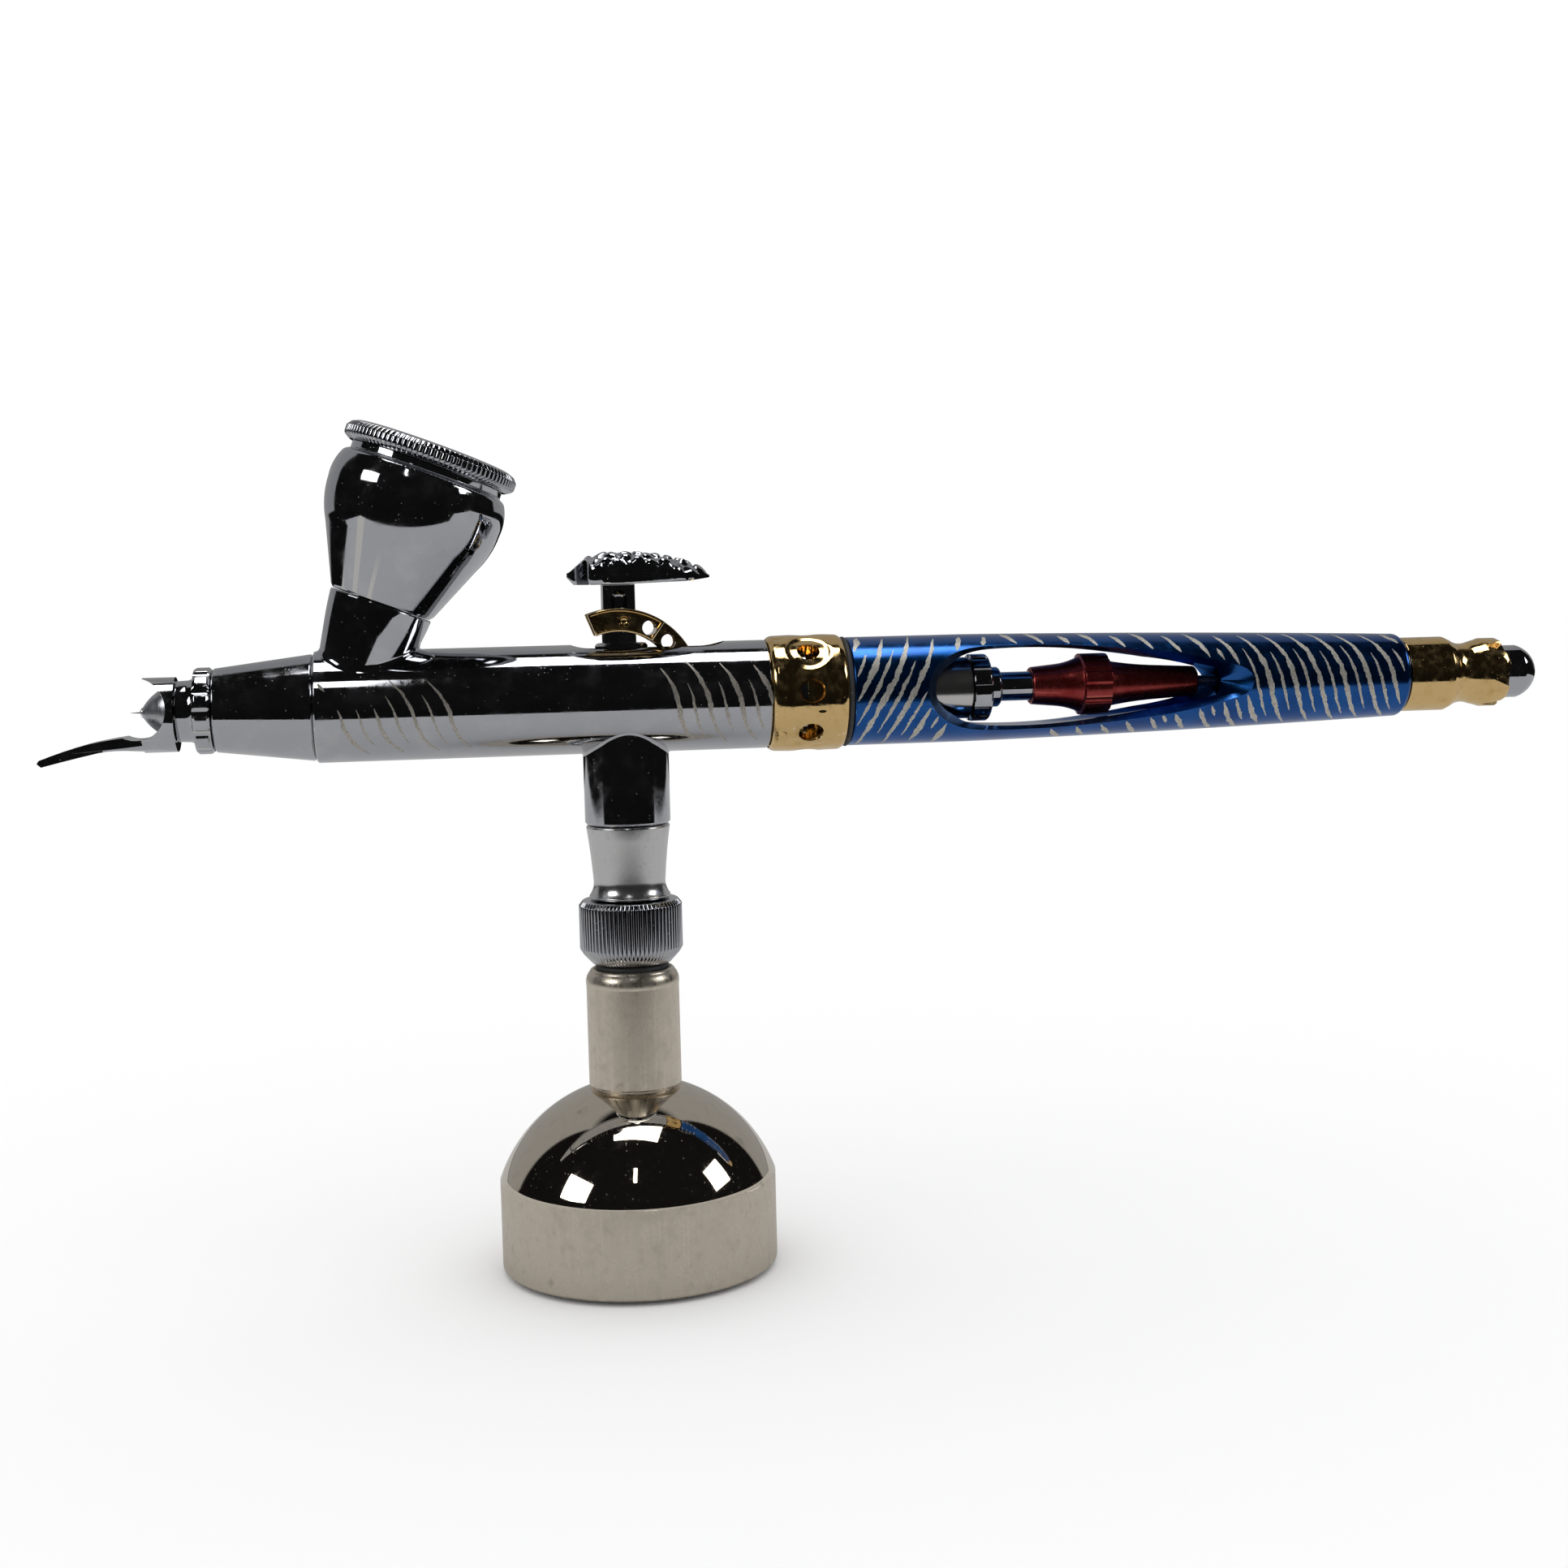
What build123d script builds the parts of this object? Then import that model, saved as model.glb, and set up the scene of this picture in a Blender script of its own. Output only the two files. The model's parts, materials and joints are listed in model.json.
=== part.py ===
"""Gravity-feed airbrush standing on its dome-shaped holder.

Row frame, millimetres: the origin is the centre of the foot pad's underside, +Z is up, and the
airbrush lies along X with its needle tip towards -X. Every sub-part is one node.
"""
from build123d import *
import math
import os

# ---- driving dimensions --------------------------------------------------------------------
AXIS_Z = 63.55           # height of the airbrush axis above the table
BODY_R = 6.0             # body tube radius
BODY_FRONT = -33.3       # nose end of the body tube
BODY_REAR = 15.8         # rear end of the body tube
CHAMBER_R = 4.4          # bore around the trigger
SLOT_HALF = 2.4          # half width of the trigger slot
RING_REAR = 24.2         # rear face of the holed grip ring
HANDLE_FRONT = 24.8
HANDLE_REAR = 90.0
HANDLE_BORE = 4.2
WINDOW_FLARE = 36.0      # degrees that the window's rim opens outwards
FLARE_START = 3.1        # the flare begins this far from the middle plane

CUP_FOOT_X = -30.05      # where the cup's axis crosses the airbrush axis
CUP_TILT = 20.7          # degrees, leaning to the rear
CUP_R = 9.6              # widest radius of the paint cup
LID_R = 9.5
LID_TEETH = 96

PIVOT_X = -0.6           # trigger pivot, measured from the valve axis
PIVOT_UP = 0.9           # trigger pivot, measured from the airbrush axis
BLADE_IN = 6.45          # the curved blade is an arc about the trigger pivot
BLADE_OUT = 9.0
BLADE_HOLES = (63.0, 43.5)   # degrees up from +X, as seen from the side

HOUSING_R = 4.72         # valve housing
DIAL_R = 5.72
DIAL_TEETH = 72

BASE_R = 15.4
BASE_WALL = 10.2         # height of the cylindrical band
DOME_R = 16.3
STEM_R = 5.15
STEM_TOP = 33.2
STEM_FOOT = 20.1
NIPPLE_R = 2.5
RUN = 0.05               # radial running clearance

NEEDLE_R = 0.6
CHUCK_TUBE_R = 1.65


# ---- shared helpers ------------------------------------------------------------------------
def outline(points):
    """Closed face; a point (u, v, bulge) is reached by an arc of that height off the chord."""
    sides = []
    for start, end in zip(points, points[1:] + points[:1]):
        if len(end) == 3:
            sides.append(SagittaArc(start[:2], end[:2], end[2]))
        else:
            sides.append(Line(start[:2], end))
    return make_face(sides)


def turned_x(points):
    """Solid of revolution about the airbrush axis, from (x, radius) points."""
    return Pos(0, 0, AXIS_Z) * Rot(-90, 0, 0) * revolve(outline(points), Axis.X)


def turned_z(points):
    """Solid of revolution about the stand's axis, from (radius, z) points."""
    return revolve(Plane.XZ * outline(points), Axis.Z)


def turned_cup(points):
    """Solid of revolution about the leaning cup axis, from (radius, distance up the axis)."""
    return Pos(CUP_FOOT_X, 0, AXIS_Z) * Rot(0, CUP_TILT, 0) * turned_z(points)


def plate(face, half_width):
    """Extrude a face drawn as (x, height above the airbrush axis) across Y."""
    return Pos(0, 0, AXIS_Z) * extrude(Plane.XZ * face, half_width, both=True)


def star(teeth, root, tip, height):
    """Toothed prism for a straight knurl."""
    points = []
    for index in range(2 * teeth):
        radius = tip if index % 2 == 0 else root
        angle = math.pi * index / teeth
        points.append((radius * math.cos(angle), radius * math.sin(angle)))
    return extrude(make_face(Polyline(*points, close=True)), height)


def cross_hole(x, up, radius, reach):
    """Cylinder along Y at (x, up) from the airbrush axis."""
    return Pos(x, 0, AXIS_Z + up) * Rot(90, 0, 0) * Cylinder(radius, 2 * reach)


def coil(wire, mean_radius, length, turns):
    """Compression spring standing on its lower end, along +Z."""
    pitch = (length - 2 * wire) / turns
    path = Pos(0, 0, wire) * Helix(pitch, length - 2 * wire, mean_radius)
    section = Plane(origin=path @ 0, z_dir=path % 0) * Circle(wire)
    return sweep(section, path=path, is_frenet=True)


def along_x(solid, x):
    """Lay a part made along +Z onto the airbrush axis, starting at x."""
    return Pos(x, 0, AXIS_Z) * Rot(0, 90, 0) * solid


# ---- holder stand --------------------------------------------------------------------------
def dome_bulge():
    """Height of the dome's arc off its chord."""
    chord = math.hypot(BASE_R - STEM_R, STEM_FOOT - BASE_WALL)
    return DOME_R - math.sqrt(DOME_R**2 - (chord / 2) ** 2)


def stand_base():
    return turned_z([
        (2.1, 4.2), (3.7, 4.2), (3.7, 1.6), (14.3, 1.6), (14.3, 0.3), (15.1, 0.3), (BASE_R, 0.6),
        (BASE_R, BASE_WALL), (STEM_R, STEM_FOOT, -dome_bulge()), (3.05, STEM_FOOT), (3.05, 9.5),
        (2.1, 9.5),
    ])


def foot_pad():
    return Pos(0, 0, 0.8) * Cylinder(14.2, 1.6)


def stem_screw():
    screw = turned_z([
        (0, 1.7), (3.2, 1.7), (3.5, 2.0), (3.5, 4.2), (2.0, 4.2), (2.0, 14.6), (1.6, 15.0), (0, 15.0),
    ])
    return screw - Pos(0, 0, 1.7) * extrude(RegularPolygon(1.45, 6), 1.6)


def stand_stem():
    return turned_z([
        (2.02, 9.7), (3.0, 9.7), (3.0, STEM_FOOT), (4.75, STEM_FOOT), (4.75, 20.45), (STEM_R, 20.6),
        (STEM_R, 32.1), (4.05, STEM_TOP, -0.32), (2.9, STEM_TOP), (NIPPLE_R + RUN, 32.8),
        (NIPPLE_R + RUN, 28.05), (3.4, 28.05), (3.4, 26.95), (NIPPLE_R + RUN, 26.95),
        (NIPPLE_R + RUN, 20.9), (2.02, 20.9),
    ])


def socket_seal():
    return Pos(0, 0, 27.5) * Torus(2.94, 0.41)


# ---- plug and air valve --------------------------------------------------------------------
def plug_nipple():
    return turned_z([
        (1.1, 21.2), (2.1, 21.2), (NIPPLE_R, 22.4), (NIPPLE_R, 34.1), (3.3, 34.1), (3.3, 35.4),
        (1.9, 35.4), (1.9, 40.8), (1.1, 40.8),
    ])


def plug_gasket():
    return turned_z([
        (NIPPLE_R, 33.26), (3.9, 33.26), (4.1, 33.5), (4.1, 33.85), (3.9, 34.08), (NIPPLE_R, 34.08),
    ])


def pressure_body():
    return turned_z([
        (1.9 + RUN, 35.6), (3.4, 35.6), (3.4, 41.5), (4.45, 41.5), (4.5, 41.75), (3.98, 43.4, 0.16),
        (4.62, 49.4, 0.06), (4.5, 49.6), (3.25, 49.6), (3.25, 53.5), (2.4, 53.5), (2.4, 46.9),
        (1.2, 46.9), (1.2, 41.6), (1.9 + RUN, 41.6),
    ])


def pressure_dial():
    bore = 3.4 + RUN
    blank = turned_z([
        (bore, 34.2), (4.35, 34.2), (5.35, 35.3), (DIAL_R, 35.9), (DIAL_R, 40.7), (5.3, 41.25),
        (bore, 41.42),
    ])
    return blank & Pos(0, 0, 34.0) * star(DIAL_TEETH, DIAL_R - 0.3, DIAL_R, 8.0)


def valve_housing():
    housing = turned_z([
        (3.3, 49.72), (4.5, 49.72), (HOUSING_R, 49.95), (HOUSING_R, 62.0), (3.3, 62.0),
    ])
    return housing - turned_x([(-10, 0), (-10, BODY_R), (10, BODY_R), (10, 0)])


def valve_guide():
    return turned_z([(1.05, 55.7), (3.27, 55.7), (3.27, 57.2), (1.05, 57.2)])


def valve_seal():
    return Pos(0, 0, 55.3) * Torus(1.75, 0.34)


def valve_piston():
    return turned_z([
        (0, 50.2), (1.0, 50.2), (1.0, 54.1), (2.3, 54.1), (2.3, 54.9), (1.0, 54.9), (1.0, 59.3),
        (1.7, 59.3), (1.7, 60.25), (0, 60.25),
    ])


def valve_spring():
    return Pos(0, 0, 46.95) * coil(0.22, 1.75, 7.1, 6)


# ---- body and paint cup --------------------------------------------------------------------
def slot_cutter(front, rear, half_width, low, high):
    """Round-ended slot in the top of the body."""
    middle = Location(((front + rear) / 2, 0, AXIS_Z + low))
    return middle * extrude(SlotOverall(rear - front, 2 * half_width), high - low)


def airbrush_body():
    tube = turned_x([
        (BODY_FRONT, 4.0), (BODY_FRONT, 5.8), (BODY_FRONT + 0.2, BODY_R), (BODY_REAR - 0.2, BODY_R),
        (BODY_REAR, 5.8), (BODY_REAR, 5.2), (19.8, 5.2), (19.8, 3.5), (12.0, 3.5), (12.0, CHAMBER_R),
        (-8.0, CHAMBER_R), (-8.0, 1.8), (-27.0, 1.8), (-27.0, 4.0),
    ])
    tube -= slot_cutter(-5.7, 11.2, SLOT_HALF, 0.5, 7.0)
    tube -= Pos(0, 0, 57.5) * Cylinder(3.35, 6.0)
    return tube - turned_cup([(0, 0), (1.6, 0), (1.6, 9.0), (0, 9.0)])


def cup_socket():
    socket = turned_cup([
        (1.6, 3.0), (4.3, 3.0), (5.2, 8.3), (5.6, 11.55, 0.03), (5.5, 11.68), (3.45, 11.68),
        (3.45, 8.2), (1.6, 8.2),
    ])
    return socket - turned_x([(-45, 0), (-45, BODY_R), (-10, BODY_R), (-10, 0)])


def paint_cup():
    return turned_cup([
        (1.6, 8.8), (3.4, 8.8), (3.4, 11.76), (5.4, 11.76), (5.75, 12.15), (8.4, 18.3),
        (CUP_R, 22.9, -0.28), (9.15, 25.8, -0.2), (8.45, 26.45, -0.12), (8.35, 26.6), (8.35, 27.25),
        (7.6, 27.25), (7.6, 26.4), (8.75, 22.9, 0.3), (7.6, 18.6, 0.25), (2.6, 12.4), (1.6, 11.2),
    ])


def cup_gasket():
    return turned_cup([(1.7, 8.25), (3.4, 8.25), (3.4, 8.75), (1.7, 8.75)])


def cup_lid():
    blank = turned_cup([
        (0.8, 28.1), (6.6, 28.1), (6.6, 26.6), (7.4, 26.6), (7.4, 27.3), (8.7, 27.3), (9.35, 27.7),
        (LID_R, 27.95), (LID_R, 28.7), (9.1, 29.2), (8.5, 29.45), (7.2, 29.45), (6.4, 28.95),
        (0.8, 28.95),
    ])
    knurl = Pos(0, 0, 26.0) * star(LID_TEETH, LID_R - 0.24, LID_R, 5.0)
    return blank & Pos(CUP_FOOT_X, 0, AXIS_Z) * Rot(0, CUP_TILT, 0) * knurl


# ---- spray head ----------------------------------------------------------------------------
def nozzle_head():
    return turned_x([
        (-43.9, 2.6), (-43.9, 4.3), (-43.7, 4.5), (-33.55, 5.75), (-33.35, 5.6), (-33.35, 3.95),
        (-27.5, 3.95), (-27.5, 1.0), (-38.5, 1.0), (-38.5, 2.6),
    ])


def air_cap():
    blank = turned_x([
        (-51.5, 0.48), (-51.35, 0.5), (-49.8, 2.15, 0.12), (-48.4, 2.95, 0.1), (-47.75, 2.95),
        (-47.7, 3.25), (-46.7, 3.3), (-45.85, 3.6, -0.08), (-45.8, 4.45), (-45.5, 4.65),
        (-44.3, 4.65), (-44.0, 4.4), (-44.0, 2.55), (-38.6, 2.55), (-38.6, 1.9), (-47.5, 1.9),
    ])
    for index in range(12):
        flute = Pos(-44.9, 0, AXIS_Z) * Rot(30 * index + 15, 0, 0) * Pos(0, 0, 5.15)
        blank -= flute * Rot(0, 90, 0) * Cylinder(0.75, 3.0)
    return blank


def needle_cap():
    ring = Pos(-49.5, 0, AXIS_Z - 0.3) * Rot(0, 90, 0) * Cylinder(4.0, 3.4)
    finger = outline([
        (-50.2, -2.0), (-51.8, -2.4), (-56.3, -3.0, -0.08), (-62.1, -4.7, -0.1), (-62.35, -5.05),
        (-61.9, -5.45), (-55.8, -4.05, 0.03), (-52.0, -4.0, 0.13), (-49.0, -4.25),
    ])
    prong = plate(finger, 3.0) & Pos(-55.5, 0, AXIS_Z) * Rot(0, 90, 0) * Cylinder(6.2, 14.0)
    taper = make_face(Polyline((-62.6, -0.9), (-48, -3.0), (-48, 3.0), (-62.6, 0.9), close=True))
    prong &= extrude(Plane.XY.offset(AXIS_Z - 8) * taper, 10)
    barrel = Pos(-55.0, 0, AXIS_Z - 0.3) * Rot(0, 90, 0) * Cylinder(4.0, 14.6)
    tip_zone = Pos(-58.0, 0, AXIS_Z - 6.5) * Box(9.0, 8, 5.0)
    prong = prong & (barrel + tip_zone)
    cap = ring + prong
    cap -= cross_hole(-51.8, 0.4, 3.25, 6.0)
    return cap - turned_x([(-56, 0), (-56, 1.4), (-51.5, 3.0), (-47.0, 3.0), (-47.0, 0)])


def nozzle():
    return turned_x([
        (-51.6, 0.18), (-51.6, 0.28), (-47.5, 1.3), (-46.5, 1.45), (-40.7, 1.5), (-40.7, 1.85),
        (-40.0, 1.85), (-40.0, 0.7), (-44.6, 0.7),
    ])


def nozzle_seal():
    return turned_x([(-39.95, 0.75), (-39.95, 1.85), (-39.3, 1.85), (-39.3, 0.75)])


def needle_packing():
    return turned_x([(-20.0, 0.62), (-20.0, 1.78), (-17.5, 1.78), (-17.5, 0.62)])


def packing_screw():
    screw = turned_x([(-17.45, 0.7), (-17.45, 1.76), (-12.0, 1.76), (-12.0, 0.7)])
    return screw - Pos(-12.0, 0, AXIS_Z) * Box(1.2, 4.0, 0.5)


# ---- trigger -------------------------------------------------------------------------------
def pivot_arc(radius, degrees):
    """Point (x, up) on a circle about the trigger pivot."""
    angle = math.radians(degrees)
    return PIVOT_X + radius * math.cos(angle), PIVOT_UP + radius * math.sin(angle)


def arc_plate(first, last, half_width):
    """Sector of the blade's arc between two angles."""
    middle = (first + last) / 2
    side_out = ThreePointArc(pivot_arc(BLADE_OUT, first), pivot_arc(BLADE_OUT, middle),
                             pivot_arc(BLADE_OUT, last))
    side_in = ThreePointArc(pivot_arc(BLADE_IN, last), pivot_arc(BLADE_IN, middle),
                            pivot_arc(BLADE_IN, first))
    ends = [Line(side_out @ 1, side_in @ 0), Line(side_in @ 1, side_out @ 0)]
    return plate(make_face([side_out, ends[0], side_in, ends[1]]), half_width)


def trigger_lever():
    low = PIVOT_UP - 4.1
    profile = outline([
        (-2.15, 12.5), (-2.15, 5.0), (-1.9, 4.5), (-1.9, low + 0.2), (0.7, low + 0.2, -0.2),
        (1.2, 4.5), (1.42, 5.0), (1.42, 12.5),
    ])
    stem = plate(profile, 1.5)
    collar = Pos(-0.15, 0, AXIS_Z + 5.7) * Cylinder(2.9, 0.8)
    collar &= Pos(-0.15, 0, AXIS_Z + 5.7) * Box(6.0, 4.36, 1.0)
    stem += collar
    needle_way = Pos(-0.4, 0, AXIS_Z + 0.95)
    stem -= needle_way * Box(6.0, 1.7, 5.3)
    for side in (-1, 1):
        scoop = Pos(-0.37, side * 1.6, AXIS_Z)
        stem -= scoop * Pos(0, 0, 9.6) * Cylinder(0.85, 2.8)
        stem -= scoop * Pos(0, 0, 11.0) * Sphere(0.85)
    return stem - cross_hole(*pivot_arc(7.6, 85), 0.77, 3.0)


def trigger_pad():
    half = make_face([
        Line((-5.9, 0), (-5.0, -1.6)), Line((-5.0, -1.6), (-3.7, -3.2)),
        Line((-3.7, -3.2), (-2.2, -4.2)), SagittaArc((-2.2, -4.2), (4.5, -3.7), -0.45),
        SagittaArc((4.5, -3.7), (9.8, 0), -0.5), Line((9.8, 0), (-5.9, 0)),
    ])
    leaf = half + mirror(half, Plane.XZ)
    blank = Pos(0, 0, AXIS_Z + 12.5) * extrude(leaf, 4.0)
    crown = Pos(0, 0, AXIS_Z + 15.65 - 26.0) * Sphere(26.0)
    heel = plate(outline([(-6.0, 13.4), (-5.6, 13.9), (-3.9, 15.3), (-3, 17), (11, 17), (11, 13.2),
                          (7.5, 12.7), (0, 12.5), (-5.1, 12.5)]), 6.0)
    return blank & crown & heel


def trigger_blade():
    """Fork of two cheeks about the stem, stepped in to a narrower tail."""
    cheeks = arc_plate(112.0, 55.0, 2.2) - arc_plate(120.0, 61.0, 1.55)
    tail = arc_plate(55.0, 10.0, 1.6) - arc_plate(42.0, 0.0, 0.85)
    blade = cheeks + tail
    for degrees in BLADE_HOLES:
        blade -= cross_hole(*pivot_arc(7.6, degrees), 0.8, 4.0)
    return blade - cross_hole(*pivot_arc(7.6, 85), 0.77, 4.0)


def blade_pin():
    x, up = pivot_arc(7.6, 85)
    pin = cross_hole(x, up, 0.76, 2.1)
    for side in (-1, 1):
        pin -= Pos(x, side * 2.3, AXIS_Z + up) * Sphere(0.6)
    return pin


# ---- needle train --------------------------------------------------------------------------
def needle():
    return turned_x([(-52.6, 0), (-52.6, 0.02), (-44.5, NEEDLE_R), (69.6, NEEDLE_R), (70.0, 0.3),
                     (70.0, 0)])


def chuck_guide():
    guide = turned_x([
        (8.75, 0.62), (8.75, 1.7), (9.3, 2.3), (10.6, 2.3), (11.2, CHUCK_TUBE_R), (12.7, CHUCK_TUBE_R),
        (12.7, 2.35), (14.4, 2.35), (14.4, CHUCK_TUBE_R), (47.0, CHUCK_TUBE_R), (47.0, 1.4),
        (56.0, 1.4), (57.0, 1.0), (57.0, 0.62),
    ])
    for turn in (0, 90):
        guide -= Pos(54.0, 0, AXIS_Z) * Rot(turn, 0, 0) * Box(7.0, 3.2, 0.3)
    return guide


def chuck_nut():
    bore = CHUCK_TUBE_R + RUN
    blank = turned_x([
        (46.0, bore), (46.0, 2.0), (46.15, 2.12), (48.9, 2.38), (51.6, 3.1, -0.12), (51.75, 3.5),
        (54.8, 3.5), (54.95, 2.62), (60.1, 1.98, -0.08), (65.3, 1.7), (65.5, 1.5), (65.5, 0.75),
        (57.4, 0.75), (57.4, 1.45), (47.3, 1.45), (47.3, bore),
    ])
    for index in range(12):
        flute = Pos(53.3, 0, AXIS_Z) * Rot(30 * index, 0, 0) * Pos(0, 0, 3.95)
        blank -= flute * Rot(0, 90, 0) * Cylinder(0.6, 4.0)
    return blank


def spring_sleeve():
    return turned_x([(12.2, 2.45), (12.2, 3.45), (38.6, 3.45), (38.8, 3.25), (38.8, 2.45)])


def needle_spring():
    return along_x(coil(0.29, 2.03, 20.2, 11), 14.5)


def tension_nut():
    bore = CHUCK_TUBE_R + RUN
    nut = turned_x([
        (35.0, bore), (35.0, 2.4), (38.9, 2.4), (38.9, 3.78), (40.7, 3.78), (40.95, 3.55),
        (40.95, 2.1), (41.2, 2.27), (42.1, 2.27), (42.35, 2.1), (42.35, bore),
    ])
    for index in range(12):
        gap = Pos(39.9, 0, AXIS_Z) * Rot(30 * index, 0, 0) * Pos(0, 0, 3.85)
        nut -= gap * Box(2.6, 0.85, 0.72)
    return nut


# ---- grip ring and handle ------------------------------------------------------------------
def grip_ring():
    ring = turned_x([
        (15.85, 5.22), (15.85, 6.05), (16.6, 6.4, 0.1), (23.4, 6.4, 0.06), (RING_REAR, 6.0, 0.1),
        (RING_REAR, 4.95), (30.4, 4.95), (30.4, 3.55), (19.9, 3.55), (19.9, 5.22),
    ])
    for index in range(8):
        around = Pos(20.0, 0, AXIS_Z) * Rot(45 * index + 4, 0, 0)
        ring -= around * Pos(0, -5.9, 0) * Rot(90, 0, 0) * Cylinder(1.2, 1.5)
    return ring


def ring_seal():
    return turned_x([(24.22, 4.97), (24.22, 5.95), (24.4, 6.12), (24.6, 6.12), (24.78, 5.95),
                     (24.78, 4.97)])


def window_face():
    """Teardrop seen from the side, blunt to the front and pointed to the rear."""
    return make_face(Spline(
        (34.9, 0.1), (36.5, 3.1), (41.5, 4.4), (50.0, 4.2), (58.0, 3.2), (64.5, 1.75), (67.6, 0.1),
        (64.5, -1.55), (58.0, -3.0), (50.0, -4.0), (41.5, -4.2), (36.5, -2.9), periodic=True))


def handle():
    shell = turned_x([
        (HANDLE_FRONT, 5.0), (HANDLE_FRONT, 5.9), (HANDLE_FRONT + 0.15, 6.05), (38.0, 6.05),
        (89.1, 4.78, 0.16), (HANDLE_REAR, 3.9, 0.3), (HANDLE_REAR, 3.0), (76.0, 3.0), (76.0, 1.8),
        (68.4, 1.8), (66.8, HANDLE_BORE), (31.0, HANDLE_BORE), (31.0, 5.0),
    ])
    shell -= plate(window_face(), 8.0)
    for side in (-1, 1):
        mouth = Pos(0, side * FLARE_START, AXIS_Z) * Plane.XZ * window_face()
        shell -= extrude(mouth, 4.0, dir=(0, side, 0), taper=-WINDOW_FLARE)
    return shell


def limiter_bush():
    return turned_x([(76.2, 2.05), (76.2, 2.98), (89.8, 2.98), (89.8, 2.05)])


def limiter_sleeve():
    blank = turned_x([
        (77.0, 1.05), (77.0, 2.0), (90.1, 2.0), (90.1, 4.28), (95.4, 4.28), (96.1, 3.95),
        (98.9, 3.6, -0.35), (100.2, 3.97, -0.02), (101.9, 3.97), (102.5, 3.7), (102.5, 3.1),
        (98.4, 3.1), (98.4, 2.0), (96.5, 2.0), (96.5, 1.05),
    ])
    for index in range(6):
        notch = make_face(Polyline((0, 0), (3.0, -1.35), (3.0, 1.35), close=True))
        tooth = Rot(60 * index + 38, 0, 0) * Pos(99.9, 0, 3.2) * extrude(notch, 2.0)
        blank -= Pos(0, 0, AXIS_Z) * tooth
    return blank


def end_button():
    return turned_x([
        (75.0, 0), (75.0, 1.0), (99.5, 1.0), (99.5, 3.05), (104.6, 3.05), (106.9, 0.5, 0.5),
        (106.9, 0),
    ])


def button_spring():
    return along_x(coil(0.2, 1.5, 2.85, 3), 96.6)


# ---- write every node ----------------------------------------------------------------------
SUB_PARTS = [
    stand_base, foot_pad, stem_screw, stand_stem, socket_seal,
    plug_nipple, plug_gasket, pressure_body, pressure_dial, valve_housing, valve_guide, valve_seal,
    valve_piston, valve_spring,
    airbrush_body, cup_socket, paint_cup, cup_gasket, cup_lid,
    nozzle_head, air_cap, needle_cap, nozzle, nozzle_seal, needle_packing, packing_screw,
    trigger_lever, trigger_pad, trigger_blade, blade_pin,
    needle, chuck_guide, chuck_nut, spring_sleeve, needle_spring, tension_nut,
    grip_ring, ring_seal, handle, limiter_bush, limiter_sleeve, end_button, button_spring,
]


def main():
    os.makedirs("parts", exist_ok=True)
    for make in SUB_PARTS:
        export_step(make(), f"parts/{make.__name__}.step")


main()
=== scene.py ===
"""Looks of a gravity-feed airbrush on its dome-shaped holder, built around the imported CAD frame.

Lengths are millimetres until a mesh is made. The frame has its origin under the stand's pad, +Z up,
and the airbrush along X with its needle tip towards -X.
"""

import json
import random
from itertools import groupby
from math import atan2, ceil, cos, degrees, dist, hypot, pi, radians, sin, sqrt, tan

import bmesh
import bpy
import numpy as np
from mathutils import Matrix, Vector, noise


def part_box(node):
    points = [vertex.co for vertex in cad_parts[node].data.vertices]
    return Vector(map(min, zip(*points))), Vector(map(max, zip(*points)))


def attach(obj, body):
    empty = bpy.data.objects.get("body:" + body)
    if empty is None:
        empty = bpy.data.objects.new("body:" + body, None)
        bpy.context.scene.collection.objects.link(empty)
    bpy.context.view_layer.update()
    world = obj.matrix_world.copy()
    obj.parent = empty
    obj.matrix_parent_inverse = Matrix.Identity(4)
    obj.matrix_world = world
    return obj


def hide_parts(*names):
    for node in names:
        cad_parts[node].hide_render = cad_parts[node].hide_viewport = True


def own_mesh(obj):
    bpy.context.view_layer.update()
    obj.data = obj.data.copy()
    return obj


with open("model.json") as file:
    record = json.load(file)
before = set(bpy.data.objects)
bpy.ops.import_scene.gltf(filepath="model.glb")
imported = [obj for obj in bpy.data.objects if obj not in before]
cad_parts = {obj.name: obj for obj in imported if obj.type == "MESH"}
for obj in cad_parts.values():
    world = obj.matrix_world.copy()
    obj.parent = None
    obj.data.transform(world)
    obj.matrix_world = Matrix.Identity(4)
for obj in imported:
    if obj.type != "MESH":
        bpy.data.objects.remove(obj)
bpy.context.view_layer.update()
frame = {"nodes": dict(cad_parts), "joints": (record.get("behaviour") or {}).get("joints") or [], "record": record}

MM = 0.001
BODY_OF = {node: body for body, nodes in frame["record"]["behaviour"]["bodies"].items() for node in nodes}
SLOT_OF = {part["node"]: part["material_slot"] for part in frame["record"]["subparts"]}
FINISHES = {}


def span(node, axis):
    """Lowest and highest coordinate of a CAD node along one axis, in millimetres."""
    low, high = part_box(node)
    return low[axis] / MM, high[axis] / MM


X, Y, Z = 0, 1, 2
AXIS_Z = sum(span("handle", Z)) / 2
TUBE_R = span("airbrush_body", Y)[1]
RING_FRONT = span("airbrush_body", X)[1] - 4.0
CUP_FOOT_X = -30.05
CUP_TILT = atan2(*frame["joints"][2]["axis"][::2])


# ---- placing
upright = Vector


def lying(point):
    """A point drawn about +Z, laid on the airbrush axis: its height becomes x."""
    return Vector((point[2], point[1], AXIS_Z - point[0]))


def leaning(point):
    """A point drawn about +Z, set on the paint cup's axis."""
    return Matrix.Rotation(CUP_TILT, 3, "Y") @ Vector(point) + Vector((CUP_FOOT_X, 0, AXIS_Z))


def hanging(point):
    """A point drawn about +Z, measured down from the airbrush axis."""
    return Vector((point[0], -point[1], AXIS_Z - point[2]))


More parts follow.
